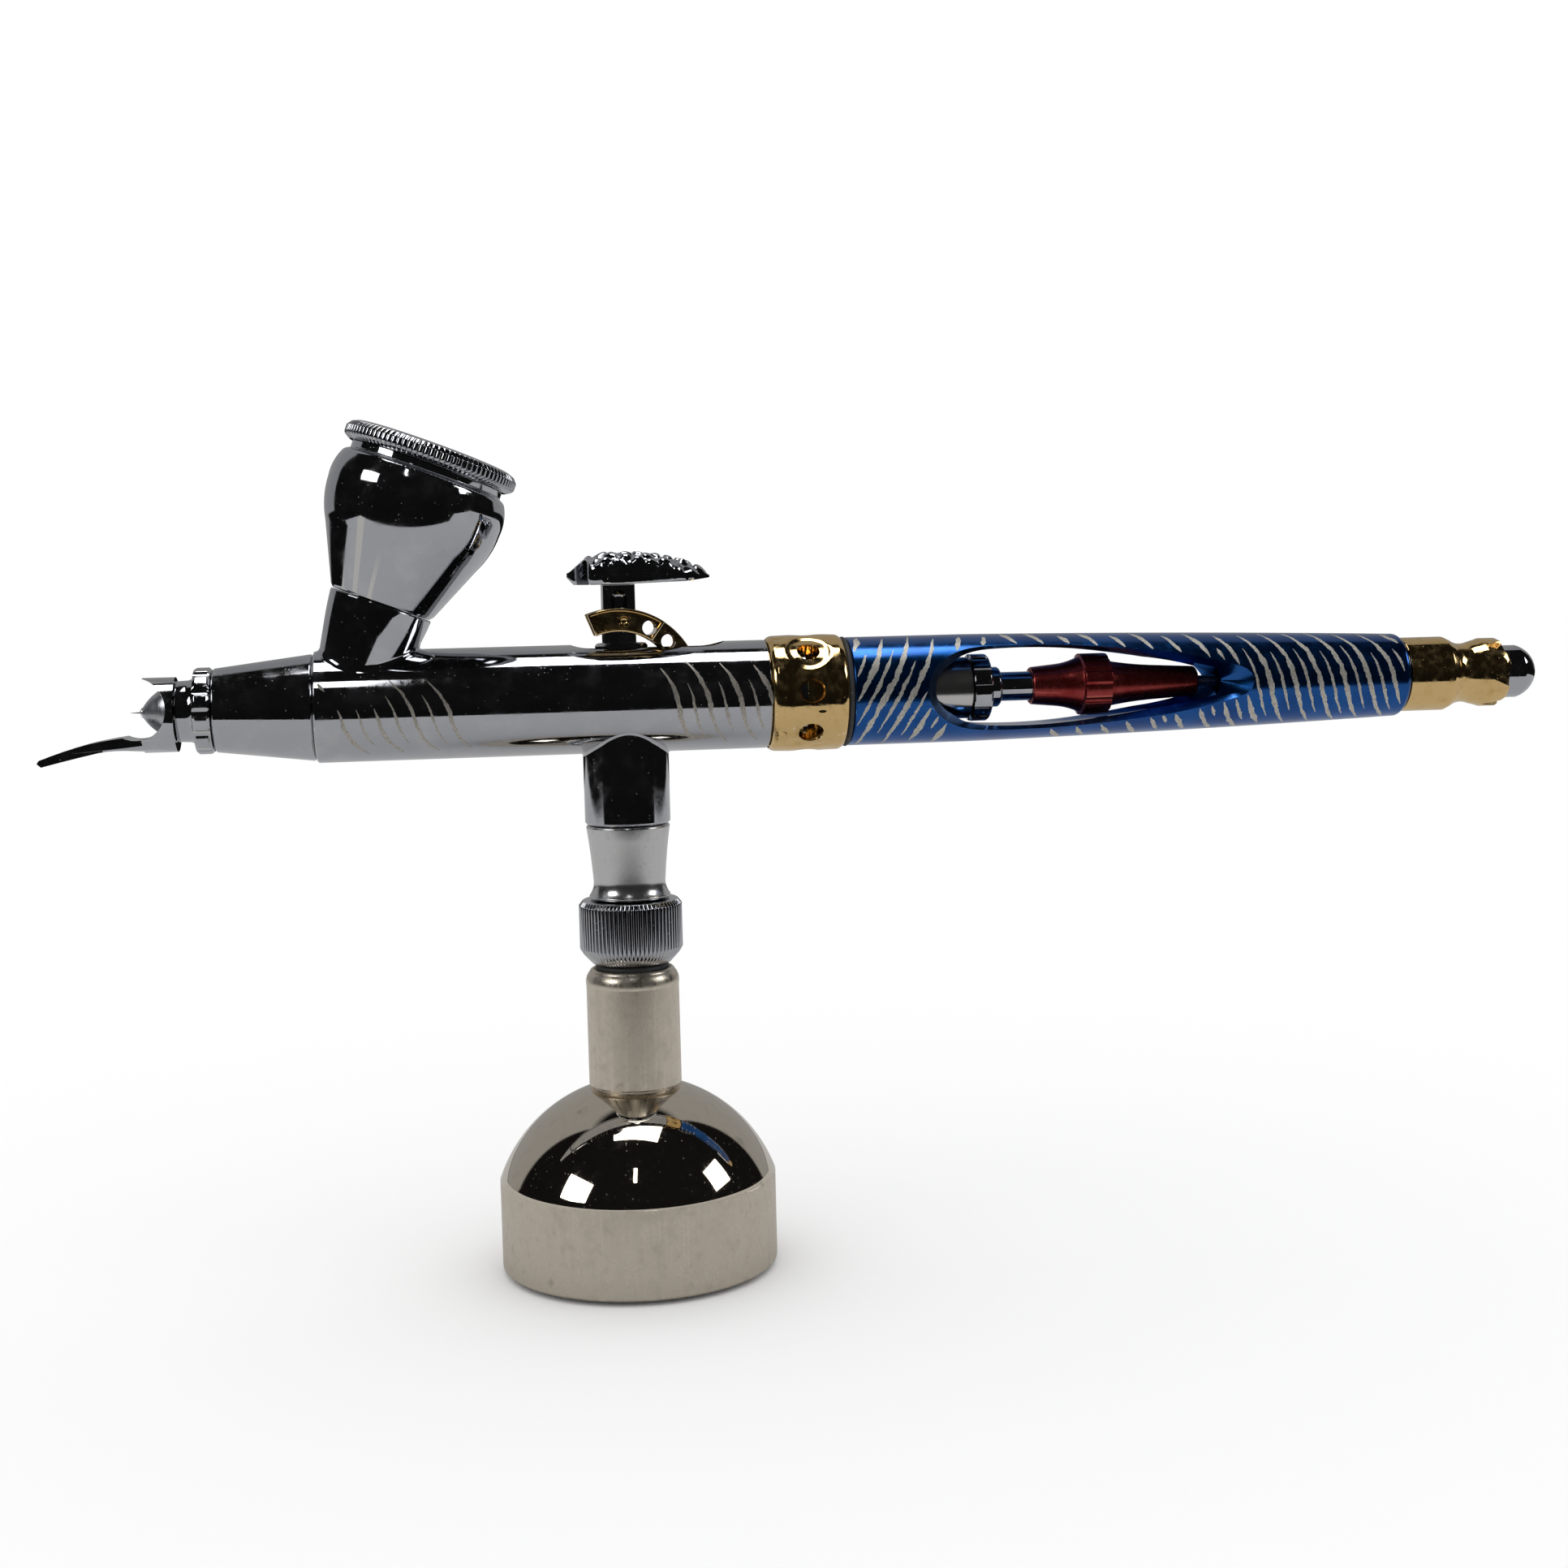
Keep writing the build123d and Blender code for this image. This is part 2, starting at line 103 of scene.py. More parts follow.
def rising(x, y):
    """Placing about the upright line at (x, y), measured up from the airbrush axis."""
    return lambda point: Vector((point[0] + x, point[1] + y, AXIS_Z + point[2]))


# ---- outlines
def arc_points(start, end, bulge):
    """Points after start up to end, on an arc whose middle stands bulge to the left of the chord."""
    start, end = Vector(start), Vector(end)
    chord = end - start
    radius = (chord.length_squared / 4 + bulge * bulge) / (2 * bulge)
    centre = (start + end) / 2 + Vector((-chord.y, chord.x)).normalized() * (bulge - radius)
    first = atan2(start.y - centre.y, start.x - centre.x)
    turn = -4 * atan2(2 * bulge, chord.length)
    steps = max(4, int(abs(turn) / radians(3)))
    angles = [first + turn * step / steps for step in range(1, steps + 1)]
    return [(centre.x + abs(radius) * cos(angle), centre.y + abs(radius) * sin(angle)) for angle in angles]


def traced(points):
    """Closed outline from (u, v) corners and (u, v, bulge) arc ends."""
    line = []
    for start, end in zip(points[-1:] + points[:-1], points):
        if len(end) == 3:
            line.extend(arc_points(start[:2], end[:2], end[2]))
        else:
            line.append(tuple(end))
    return line


def curve(start, bend, end, t):
    """Point at t on the curve from start to end that leans towards bend."""
    return start * (1 - t) ** 2 + bend * (2 * t * (1 - t)) + end * t ** 2


def softened(line, size):
    """Rounds each corner of a closed outline by up to size, leaving gentle turns alone."""
    out = []
    count = len(line)
    for index, corner in enumerate(line):
        here = Vector(corner)
        back = Vector(line[index - 1]) - here
        ahead = Vector(line[(index + 1) % count]) - here
        on_axis = abs(here.y) < 1e-6
        if on_axis or back.length < 1e-6 or ahead.length < 1e-6 or back.angle(ahead) > radians(155):
            out.append(corner)
            continue
        reach = min(size, back.length * 0.45, ahead.length * 0.45)
        start = here + back.normalized() * reach
        end = here + ahead.normalized() * reach
        out.extend(tuple(curve(start, here, end, step / 3)) for step in range(4))
    return out


def spline_loop(corners, samples):
    """Smooth closed curve through the corners, as a periodic cubic spline."""
    points = np.array(corners, float)
    ahead = np.roll(points, -1, axis=0)
    gaps = np.linalg.norm(ahead - points, axis=1)[:, None]
    before = np.roll(gaps, 1)
    one = np.eye(len(points))
    system = 2 * (before + gaps) * one + before * np.roll(one, -1, axis=1) + gaps * np.roll(one, 1, axis=1)
    rise = (ahead - points) / gaps
    bend = np.linalg.solve(system, 6 * (rise - np.roll(rise, 1, axis=0)))
    loop = []
    for p, q, bend_p, bend_q, gap in zip(points, ahead, bend, np.roll(bend, -1, axis=0), gaps[:, 0]):
        steps = max(2, round(samples * gap / gaps.sum()))
        for t in gap * np.arange(steps) / steps:
            value = (bend_p * (gap - t) ** 3 + bend_q * t ** 3) / (6 * gap)
            value += (p / gap - bend_p * gap / 6) * (gap - t) + (q / gap - bend_q * gap / 6) * t
            loop.append(Vector(value))
    return loop


# ---- meshes
def new_object(name, data):
    made = bpy.data.objects.new(name, data)
    bpy.context.scene.collection.objects.link(made)
    return made


def from_bmesh(name, shape, sharp=40):
    """Object from a bmesh in millimetres, smooth-shaded with crisp edges and flat faces kept flat."""
    bmesh.ops.recalc_face_normals(shape, faces=shape.faces)
    limit = radians(sharp)
    for face in shape.faces:
        face.smooth = True
    for edge in shape.edges:
        edge.smooth = len(edge.link_faces) == 2 and edge.calc_face_angle(0) < limit
    bmesh.ops.scale(shape, vec=(MM, MM, MM), verts=shape.verts)
    mesh = bpy.data.meshes.new(name)
    shape.to_mesh(mesh)
    shape.free()
    made = new_object(name, mesh)
    weigh = made.modifiers.new("weighted_normals", "WEIGHTED_NORMAL")
    weigh.keep_sharp = True
    weigh.weight = 60
    return made


def skin(shape, rows, joined=False):
    """Faces between neighbouring rows of vertices, where a row of one vertex is a point."""
    for low, high in zip(rows, rows[1:] + rows[:1] if joined else rows[1:]):
        count = max(len(low), len(high))
        if count == 1:
            continue
        for index in range(count):
            after = (index + 1) % count
            corners = [low[index % len(low)], low[after % len(low)], high[after % len(high)],
                       high[index % len(high)]]
            shape.faces.new(list(dict.fromkeys(corners)))


def turned(name, points, place, segments=192, corner=0.05, wave=None, sharp=40):
    """Solid of revolution from (height, radius) points, with an optional change of radius."""
    shape = bmesh.new()
    rings = []
    for height, radius in softened(traced(points), corner):
        if radius < 1e-6:
            rings.append([shape.verts.new(place((0, 0, height)))])
            continue
        ring = []
        for index in range(segments):
            angle = 2 * pi * index / segments
            reach = radius + (wave(height, radius, angle) if wave else 0)
            ring.append(shape.verts.new(place((reach * cos(angle), reach * sin(angle), height))))
        rings.append(ring)
    skin(shape, rings, joined=True)
    return from_bmesh(name, shape, sharp)


def loft(shape, rings):
    """Adds a closed solid through rings of equal length, capped at both ends."""
    rows = [[shape.verts.new(point) for point in ring] for ring in rings]
    skin(shape, rows)
    shape.faces.new(rows[0])
    shape.faces.new(list(reversed(rows[-1])))


def lofted(name, rings):
    shape = bmesh.new()
    loft(shape, rings)
    return from_bmesh(name, shape)


def circle(middle, side, other, radius, segments):
    """Ring of points about middle, in the plane of two unit vectors."""
    angles = [2 * pi * step / segments for step in range(segments)]
    return [middle + (side * cos(angle) + other * sin(angle)) * radius for angle in angles]


def round_bar(name, start, end, radius, segments=48):
    """Cylinder between two points, used as a cutter."""
    start, end = Vector(start), Vector(end)
    along = (end - start).normalized()
    side = along.orthogonal().normalized()
    other = along.cross(side)
    return lofted(name, [circle(middle, side, other, radius, segments) for middle in (start, end)])


def applied(piece):
    """Bakes the modifiers of a piece into its mesh."""
    graph = bpy.context.evaluated_depsgraph_get()
    done = bpy.data.meshes.new_from_object(piece.evaluated_get(graph))
    piece.modifiers.clear()
    piece.data = done


def shape_of(mesh):
    """A mesh read back in millimetres, with doubled points merged."""
    shape = bmesh.new()
    shape.from_mesh(mesh)
    bmesh.ops.scale(shape, vec=(1 / MM, 1 / MM, 1 / MM), verts=shape.verts)
    bmesh.ops.remove_doubles(shape, verts=shape.verts, dist=1e-4)
    return shape


def combined(piece, tools, operation="DIFFERENCE", sharp=40, solver="EXACT"):
    """Cuts or joins tools into a piece, then renews its shading."""
    piece.modifiers.clear()
    for tool in tools:
        tool.modifiers.clear()
        step = piece.modifiers.new("step", "BOOLEAN")
        step.operation = operation
        step.object = tool
        step.solver = solver
    bpy.context.view_layer.update()
    applied(piece)
    for tool in tools:
        bpy.data.objects.remove(tool)
    name, shape = piece.name, shape_of(piece.data)
    bpy.data.objects.remove(piece)
    return from_bmesh(name, shape, sharp)


def refined(node, bevel, name, segments=2):
    """Copy of a CAD node's mesh with its sharp edges broken, for parts that aren't turned."""
    shape = shape_of(frame["nodes"][node].data)
    bmesh.ops.dissolve_limit(shape, angle_limit=radians(0.6), verts=shape.verts, edges=shape.edges)
    made = from_bmesh(name, shape, 30)
    cut = made.modifiers.new("bevel", "BEVEL")
    cut.width = bevel * MM
    cut.segments = segments
    cut.limit_method = "ANGLE"
    cut.angle_limit = radians(30)
    cut.harden_normals = False
    made.modifiers.move(1, 0)
    return made


def goes_with(piece, node, material=None):
    """Puts a piece on the body of a CAD node, with its slot and, unless one is given, its finish."""
    piece.data.materials.clear()
    piece.data.materials.append(material or FINISHES[SLOT_OF[node]])
    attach(piece, BODY_OF[node])


def stands_for(piece, node, material=None):
    """The piece takes the place of a CAD node."""
    goes_with(piece, node, material)
    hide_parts(node)
    return piece


def lathe(node, *outline, **options):
    """A turned piece that takes the place of a CAD node."""
    return stands_for(turned(*outline, **options), node)


# ---- node materials
class Graph:
    """Short calls that add nodes to a node tree."""

    def __init__(self, tree):
        self.nodes, self.links = tree.nodes, tree.links

    def node(self, kind, settings=None, **sockets):
        made = self.nodes.new(kind)
        for key, value in (settings or {}).items():
            setattr(made, key, value)
        for key, value in sockets.items():
            self.feed(made.inputs[key.replace("_", " ")], value)
        return made

    def feed(self, socket, value):
        if isinstance(value, bpy.types.NodeSocket):
            self.links.new(value, socket)
        else:
            socket.default_value = value

    def math(self, operation, *values):
        made = self.node("ShaderNodeMath", {"operation": operation})
        for socket, value in zip(made.inputs, values):
            self.feed(socket, value)
        return made.outputs[0]

    def plus(self, first, second):
        return self.math("ADD", first, second)

    def times(self, first, second):
        return self.math("MULTIPLY", first, second)

    def ramp(self, value, low, high, bottom=0, top=1):
        """Smooth step from bottom to top as value goes from low to high."""
        made = self.node("ShaderNodeMapRange", {"interpolation_type": "SMOOTHSTEP"}, Value=value,
                         From_Min=low, From_Max=high, To_Min=bottom, To_Max=top)
        return made.outputs[0]


class Finish(Graph):
    """One procedural material: a Principled shader and the nodes around it, kept under its name."""

    def __init__(self, name, metallic, colour, roughness):
        material = bpy.data.materials.new(name)
        material.use_nodes = True
        super().__init__(material.node_tree)
        self.shader = self.nodes["Principled BSDF"].inputs
        self.shader["Metallic"].default_value = metallic
        self.shader["Base Color"].default_value = (*colour, 1)
        self.shader["Roughness"].default_value = roughness
        self.place = self.node("ShaderNodeTexCoord").outputs["Object"]
        FINISHES[name] = material

    def along(self, axis):
        return self.node("ShaderNodeSeparateXYZ", Vector=self.place).outputs[axis]

    def stretched(self, scale, shift=(0, 0, 0)):
        return self.node("ShaderNodeMapping", Vector=self.place, Scale=scale, Location=shift).outputs[0]

    def noise(self, size, detail=3, vector=None, rough=0.55):
        """Noise whose features are about size millimetres across."""
        return self.node("ShaderNodeTexNoise", Vector=vector or self.place, Scale=1 / (size * MM),
                         Detail=detail, Roughness=rough).outputs["Fac"]

    def cloud(self, size, detail, low, high, bottom=0, top=1, rough=0.55):
        """Noise taken through a smooth step."""
        return self.ramp(self.noise(size, detail, rough=rough), low, high, bottom, top)

    def spots(self, size, share, soft=0.02):
        """Scattered small spots, 1 inside a spot."""
        cells = self.node("ShaderNodeTexVoronoi", Vector=self.place, Scale=1 / (size * MM))
        red = self.node("ShaderNodeSeparateColor", Color=cells.outputs["Color"]).outputs["Red"]
        near = self.ramp(cells.outputs["Distance"], 0.16, 0.16 + soft, 1, 0)
        return self.times(self.math("LESS_THAN", red, share), near)

    def mixed(self, share, first, second):
        """Mix of two colours."""
        made = self.node("ShaderNodeMix", {"data_type": "RGBA"})
        self.feed(made.inputs[0], share)
        for socket, value in ((made.inputs[6], first), (made.inputs[7], second)):
            self.feed(socket, (*value, 1) if isinstance(value, tuple) else value)
        return made.outputs[2]

    def blend(self, share, first, second):
        """Mix of two plain values."""
        made = self.node("ShaderNodeMix")
        for index, value in ((0, share), (2, first), (3, second)):
            self.feed(made.inputs[index], value)
        return made.outputs[0]

    def edges(self):
        """1 along convex edges, where plating and dye wear thin."""
        return self.ramp(self.node("ShaderNodeNewGeometry").outputs["Pointiness"], 0.52, 0.60)

    def colour(self, value):
        self.feed(self.shader["Base Color"], value)

    def tinted(self, share, base, deep, wear, rubbed):
        """Two tones of a dye or plating, worn towards the rubbed colour along edges."""
        self.colour(self.mixed(self.times(self.edges(), wear), self.mixed(share, base, deep), rubbed))

    def roughness(self, value):
        self.feed(self.shader["Roughness"], value)

    def coat(self, weight, roughness):
        self.shader["Coat Weight"].default_value = weight
        self.shader["Coat Roughness"].default_value = roughness

    def bump(self, height, distance):
        """Relief of the given depth in millimetres, added to any relief made before."""
        made = self.node("ShaderNodeBump", Height=height, Distance=distance * MM, Strength=1)
        if self.shader["Normal"].links:
            self.feed(made.inputs["Normal"], self.shader["Normal"].links[0].from_socket)
        self.feed(self.shader["Normal"], made.outputs["Normal"])


CHROME = (0.50, 0.51, 0.545)
CHROME_WORN = (0.66, 0.65, 0.63)
STEEL = (0.60, 0.60, 0.61)
NICKEL = (0.72, 0.65, 0.545)
NICKEL_DULL = (0.53, 0.475, 0.40)
GOLD = (0.80, 0.56, 0.25)
GOLD_DEEP = (0.60, 0.37, 0.135)
BLUE = (0.008, 0.100, 0.37)
BLUE_DEEP = (0.006, 0.066, 0.27)
RED = (0.36, 0.050, 0.046)
RED_DEEP = (0.28, 0.022, 0.022)
RUBBER = (0.02, 0.02, 0.02)
SEAL_WHITE = (0.86, 0.86, 0.83)


def worn(finish, base, rubbed):
    """Base colour that thins to the rubbed colour along edges and in faint patches."""
    patch = finish.cloud(3, 4, 0.45, 0.75, 0, 0.35)
    share = finish.math("MAXIMUM", finish.edges(), patch)
    finish.colour(finish.mixed(share, base, rubbed))


def chrome(name):
    """Mirror plating with a wiped haze, specks of dust and hairlines."""
    finish = Finish(name, 1, CHROME, 0.035)
    worn(finish, CHROME, CHROME_WORN)
    haze = finish.cloud(2.2, 5, 0.42, 0.72, 0.035, 0.12, rough=0.65)
    specks = finish.spots(0.34, 0.09)
    finish.roughness(finish.plus(haze, finish.times(specks, 0.22)))
    one = finish.noise(0.5, 2, finish.stretched((1, 6, 6)))
    two = finish.noise(0.7, 2, finish.stretched((6, 6, 1), (0.01, 0.02, 0)))
    finish.bump(finish.plus(one, two), 0.0006)
    finish.bump(specks, 0.004)
    return finish


def satin(name, colour, rubbed, low, high, streaks):
    """Fine-turned metal with grain along one direction and faint stains."""
    finish = Finish(name, 1, colour, low)
    worn(finish, colour, rubbed)
    grain = finish.noise(0.12, 3, finish.stretched(streaks))
    stain = finish.cloud(1.6, 5, 0.50, 0.75, rough=0.7)
    tone = finish.plus(finish.times(grain, 0.6), finish.times(stain, 0.4))
    finish.roughness(finish.ramp(tone, 0.2, 0.8, low, high))
    finish.bump(grain, 0.002)


def stand_metal():
    """Warm nickel: the dome is polished, and the band and stem are satin with stains and streaks."""
    finish = Finish("warm_nickel", 1, NICKEL, 0.3)
    height = finish.along("Z")
    above_band = finish.math("GREATER_THAN", height, DOME_FOOT * MM)
    below_stem = finish.math("LESS_THAN", height, STEM_FOOT * MM)
    polished = finish.times(above_band, below_stem)
    streak = finish.noise(0.35, 4, finish.stretched((1, 1, 0.04)))
    fine = finish.noise(0.09, 2, finish.stretched((1, 1, 0.25)))
    cloud = finish.noise(1.3, 6, rough=0.72)
    stain = finish.times(finish.spots(2.1, 0.10, 0.25), finish.ramp(cloud, 0.45, 0.6))
    dull = finish.plus(finish.ramp(cloud, 0.48, 0.78, 0, 0.55), stain)
    tone = finish.mixed(finish.math("MINIMUM", dull, 1), NICKEL, NICKEL_DULL)
    finish.colour(finish.mixed(finish.edges(), tone, (0.82, 0.77, 0.68)))
    satin_rough = finish.ramp(finish.plus(streak, cloud), 0.7, 1.3, 0.24, 0.40)
    specks = finish.spots(0.30, 0.16)
    mirror = finish.plus(finish.ramp(cloud, 0.5, 0.8, 0.035, 0.13), finish.times(specks, 0.2))
    finish.roughness(finish.blend(polished, satin_rough, mirror))
    relief = finish.blend(polished, finish.plus(streak, fine), finish.times(specks, 0.7))
    finish.bump(relief, 0.006)


def blue_anodised():
    """Blue dye on aluminium, a little uneven and lighter on worn edges."""
    finish = Finish("blue_anodised", 1, BLUE, 0.2)
    finish.coat(0.35, 0.12)
    depth = finish.cloud(5, 4, 0.35, 0.7)
    finish.tinted(depth, BLUE, BLUE_DEEP, 0.5, (0.12, 0.34, 0.72))
    finish.roughness(finish.cloud(1.2, 5, 0.4, 0.75, 0.17, 0.27, rough=0.7))
    finish.bump(finish.noise(0.10, 2), 0.0024)


def etching(name, dark, light, metallic):
    """Matt, grainy metal laid bare by etching."""
    finish = Finish(name, metallic, light, 0.48)
    grain = finish.noise(0.16, 4, rough=0.7)
    finish.colour(finish.mixed(finish.ramp(grain, 0.35, 0.65), dark, light))
    finish.roughness(finish.cloud(0.4, 3, 0.3, 0.7, 0.40, 0.56))
    finish.bump(grain, 0.012)


def air_cap_metal():
    """Chrome at the ring, and a cone left satin by fine turning."""
    finish = chrome("air_cap_chrome")
    cone = finish.ramp(finish.along("X"), -48.6 * MM, -48.5 * MM, 1, 0)
    grooves = finish.noise(0.10, 2, finish.stretched((1, 0.05, 0.05)))
    before = finish.shader["Roughness"].links[0].from_socket
    finish.roughness(finish.blend(cone, before, finish.ramp(grooves, 0.3, 0.7, 0.26, 0.38)))
    finish.bump(finish.times(cone, grooves), 0.004)


def gold():
    """Gold plating, tarnished in patches."""
    finish = Finish("gold_plate", 1, GOLD, 0.07)
    tarnish = finish.cloud(1.4, 5, 0.48, 0.78, 0, 0.8, rough=0.7)
    finish.tinted(tarnish, GOLD, GOLD_DEEP, 0.6, (0.95, 0.78, 0.48))
    specks = finish.times(finish.spots(0.5, 0.12), 0.3)
    finish.roughness(finish.plus(finish.cloud(0.9, 4, 0.4, 0.7, 0.07, 0.2), specks))
    finish.bump(finish.noise(0.35, 3), 0.004)


def red_anodised():
    finish = Finish("red_anodised", 1, RED, 0.3)
    finish.coat(0.25, 0.2)
    depth = finish.cloud(1.5, 5, 0.4, 0.7)
    finish.tinted(depth, RED, RED_DEEP, 0.7, (0.62, 0.16, 0.12))
    finish.roughness(finish.cloud(0.3, 3, 0.3, 0.7, 0.26, 0.36))
    finish.bump(finish.noise(0.10, 3, finish.stretched((1, 0.2, 0.2))), 0.003)


def soft_black():
    """Black rubber with lint on it."""
    finish = Finish("black_rubber", 0, RUBBER, 0.55)
    finish.colour(finish.mixed(finish.spots(0.4, 0.06), RUBBER, (0.14, 0.14, 0.14)))
    finish.roughness(finish.cloud(0.6, 4, 0.3, 0.7, 0.45, 0.65))
    finish.bump(finish.noise(0.18, 3), 0.01)


def ptfe():
    finish = Finish("ptfe", 0, SEAL_WHITE, 0.45)
    cloud = finish.cloud(0.8, 4, 0.5, 0.8)
    finish.colour(finish.mixed(cloud, SEAL_WHITE, (0.70, 0.69, 0.64)))
    finish.roughness(finish.cloud(0.4, 3, 0.3, 0.7, 0.38, 0.55))
    finish.bump(finish.noise(0.15, 3), 0.006)


# ---- stand and air valve
DOME_FOOT = 10.2
STEM_FOOT = 20.1
DOME_R = 16.3


def make_stand():
    base_r = span("stand_base", X)[1]
    stem_r = span("stand_stem", X)[1]
    chord = hypot(base_r - stem_r, STEM_FOOT - DOME_FOOT)
    rise = DOME_R - sqrt(DOME_R ** 2 - (chord / 2) ** 2)
    lathe("stand_base", "weighted_base", [
        (4.2, 2.1), (4.2, 3.7), (1.6, 3.7), (1.6, 14.3), (0.3, 14.3), (0.3, 15.1), (0.6, base_r),
        (DOME_FOOT, base_r), (STEM_FOOT, stem_r, rise), (STEM_FOOT, 3.05), (9.5, 3.05), (9.5, 2.1),
    ], upright, segments=320, corner=0.12, sharp=30)
    lathe("stand_stem", "stem_tube", [
        (9.7, 2.02), (9.7, 3), (STEM_FOOT, 3), (STEM_FOOT, 4.75), (20.45, 4.75), (20.6, stem_r),
        (31.7, stem_r), (33.3, 4.72, 0.2), (33.6, 4.35, 0.08), (33.2, 4.14), (33.2, 2.9), (32.8, 2.55),
        (28.05, 2.55), (28.05, 3.4), (26.95, 3.4), (26.95, 2.55), (20.9, 2.55), (20.9, 2.02),
    ], upright, corner=0.06)
    pad_low, pad_high = span("foot_pad", Z)
    pad_r = span("foot_pad", X)[1]
    lathe("foot_pad", "foot_pad_felted", [
        (pad_low, 0), (pad_low, pad_r), (pad_high, pad_r), (pad_high, 0),
    ], upright, segments=128, corner=0.25)


def knurl(teeth, depth, from_radius, fade):
    """Change of radius for a straight knurl: rounded ridges with narrow grooves between."""
    def wave(_, radius, angle):
        share = min(1, max(0, (radius - from_radius) / fade))
        groove = abs((angle * teeth / (2 * pi)) % 1.0 - 0.5) * 2
        return -depth * share * groove ** 3
    return wave


def off_twelfth(angle):
    """Angle from the nearest twelfth of a turn."""
    return (angle + pi / 12) % (pi / 6) - pi / 12


def fluted(centre_r, flute_r, from_radius):
    """Change of radius for twelve round flutes cut into the widest ring."""
    def wave(_, radius, angle):
        offset = off_twelfth(angle)
        side = centre_r * sin(offset)
        if radius < from_radius or abs(side) > flute_r:
            return 0.0
        return min(0, centre_r * cos(offset) - sqrt(flute_r ** 2 - side ** 2) - radius)
    return wave


def make_valve():
    ring_low, ring_high = span("plug_gasket", Z)
    lathe("plug_gasket", "plug_ring", [
        (ring_low, 2.5), (ring_low, 3.9), (ring_low + 0.24, 4.05), (ring_high - 0.23, 4.05),
        (ring_high, 3.9), (ring_high, 2.5),
    ], upright, corner=0.08)
    lathe("plug_nipple", "plug_turned", [
        (21.2, 1.1), (21.2, 2.1), (22.4, 2.5), (34.1, 2.5), (34.1, 3.3), (35.4, 3.3), (35.4, 1.9),
        (40.8, 1.9), (40.8, 1.1),
    ], upright, corner=0.06)
    dial_r = span("pressure_dial", X)[1]
    lathe("pressure_dial", "knurled_dial", [
        (34.2, 3.45), (34.2, 4.35), (35.3, 5.35), (35.9, dial_r), (40.7, dial_r), (41.25, 5.3),
        (41.42, 3.45),
    ], upright, segments=72 * 12, corner=0.08, wave=knurl(72, 0.30, 5.25, 0.35))
    lathe("pressure_body", "waist_turned", [
        (35.6, 1.95), (35.6, 3.4), (41.5, 3.4), (41.5, 4.45), (41.75, 4.5), (43.4, 3.98, -0.16),
        (49.4, 4.62, -0.06), (49.6, 4.5), (49.6, 3.25), (53.5, 3.25), (53.5, 2.4), (46.9, 2.4),
        (46.9, 1.2), (41.6, 1.2), (41.6, 1.95),
    ], upright, corner=0.06)
    housing_r = 4.72
    housing = turned("valve_tube", [
        (49.72, 3.3), (49.72, 4.5), (49.95, housing_r), (62, housing_r), (62, 3.3),
    ], upright, corner=0.06)
    inside = round_bar("inside", (-12, 0, AXIS_Z), (12, 0, AXIS_Z), TUBE_R - 0.4, 96)
    stands_for(combined(housing, [inside]), "valve_housing")
    saddle_fillet("valve_fillet", "valve_housing", hanging, lambda _: housing_r, 0.28)


# ---- body, cup and spray head
def round_normals(piece, radius_at, tolerance=0.02):
    """Gives the outer turned surface the normals of the true surface, so reflections stay clean."""
    applied(piece)
    mesh = piece.data
    normals = [Vector(corner.vector) for corner in mesh.corner_normals]
    for face in mesh.polygons:
        for loop in face.loop_indices:
            x, y, z = mesh.vertices[mesh.loops[loop].vertex_index].co / MM
            radius = hypot(y, z - AXIS_Z)
            if abs(radius - radius_at(x)) > tolerance:
                continue
            slope = (radius_at(x + 0.05) - radius_at(x - 0.05)) / 0.1
            true = Vector((-slope, y / radius, (z - AXIS_Z) / radius)).normalized()
            if true.dot(face.normal) > 0.985:
                normals[loop] = true
    mesh.normals_split_custom_set(normals)


def make_body():
    front, rear = span("airbrush_body", X)
    body = turned("etched_tube", [
        (front, 4), (front, TUBE_R - 0.2), (front + 0.2, TUBE_R), (RING_FRONT - 0.2, TUBE_R),
        (RING_FRONT, TUBE_R - 0.2), (RING_FRONT, 5.2), (rear, 5.2), (rear, 3.5), (12, 3.5), (12, 4.4),
        (-8, 4.4), (-8, 1.8), (-27, 1.8), (-27, 4),
    ], lying, segments=256)
    turns = np.radians(np.linspace(0, 180, 25) - 90)
    plan = [(11.2 - 2.4 + 2.4 * cos(turn), 2.4 * sin(turn)) for turn in turns]
    plan += [(-5.7 + 2.4 - 2.4 * cos(turn), -2.4 * sin(turn)) for turn in turns]
    slot = lofted("slot", [[(x, y, AXIS_Z + up) for x, y in plan] for up in (0.5, 9)])
    valve_hole = round_bar("valve_hole", (0, 0, 54.5), (0, 0, 60.5), 3.35, 96)
    body = combined(body, [slot, valve_hole])
    round_normals(body, lambda x: TUBE_R)
    stands_for(body, "airbrush_body")

    def bare(x, up):
        """True where the tube shows between the grip ring, the trigger slot, the cup and the valve."""
        side = TUBE_R * cos(up)
        if not front + 0.3 < x < RING_FRONT - 0.1:
            return False
        if up > 0 and (abs(side) < 2.7 or hypot(x + 29, side) < 6.4):
            return False
        return up > 0 or hypot(x, side) > 5.7

    strokes = slanting_lines(3, 16, 1.7, 42, -62, 5, 0.52, 6)
    strokes += slanting_lines(-33, -21, 1.9, 30, -58, 5.5, 0.40, 7)
    make_etching("body_etching", strokes, "airbrush_body", "etched_chrome", lambda x: TUBE_R, bare)

    head_front, _ = span("nozzle_head", X)
    lathe("nozzle_head", "tapered_head", [
        (head_front, 2.6), (head_front, 4.3), (head_front + 0.2, 4.5), (-33.55, 5.75), (-33.35, 5.6),
        (-33.35, 3.95), (-27.5, 3.95), (-27.5, 1), (-38.5, 1), (-38.5, 2.6),
    ], lying, segments=256)


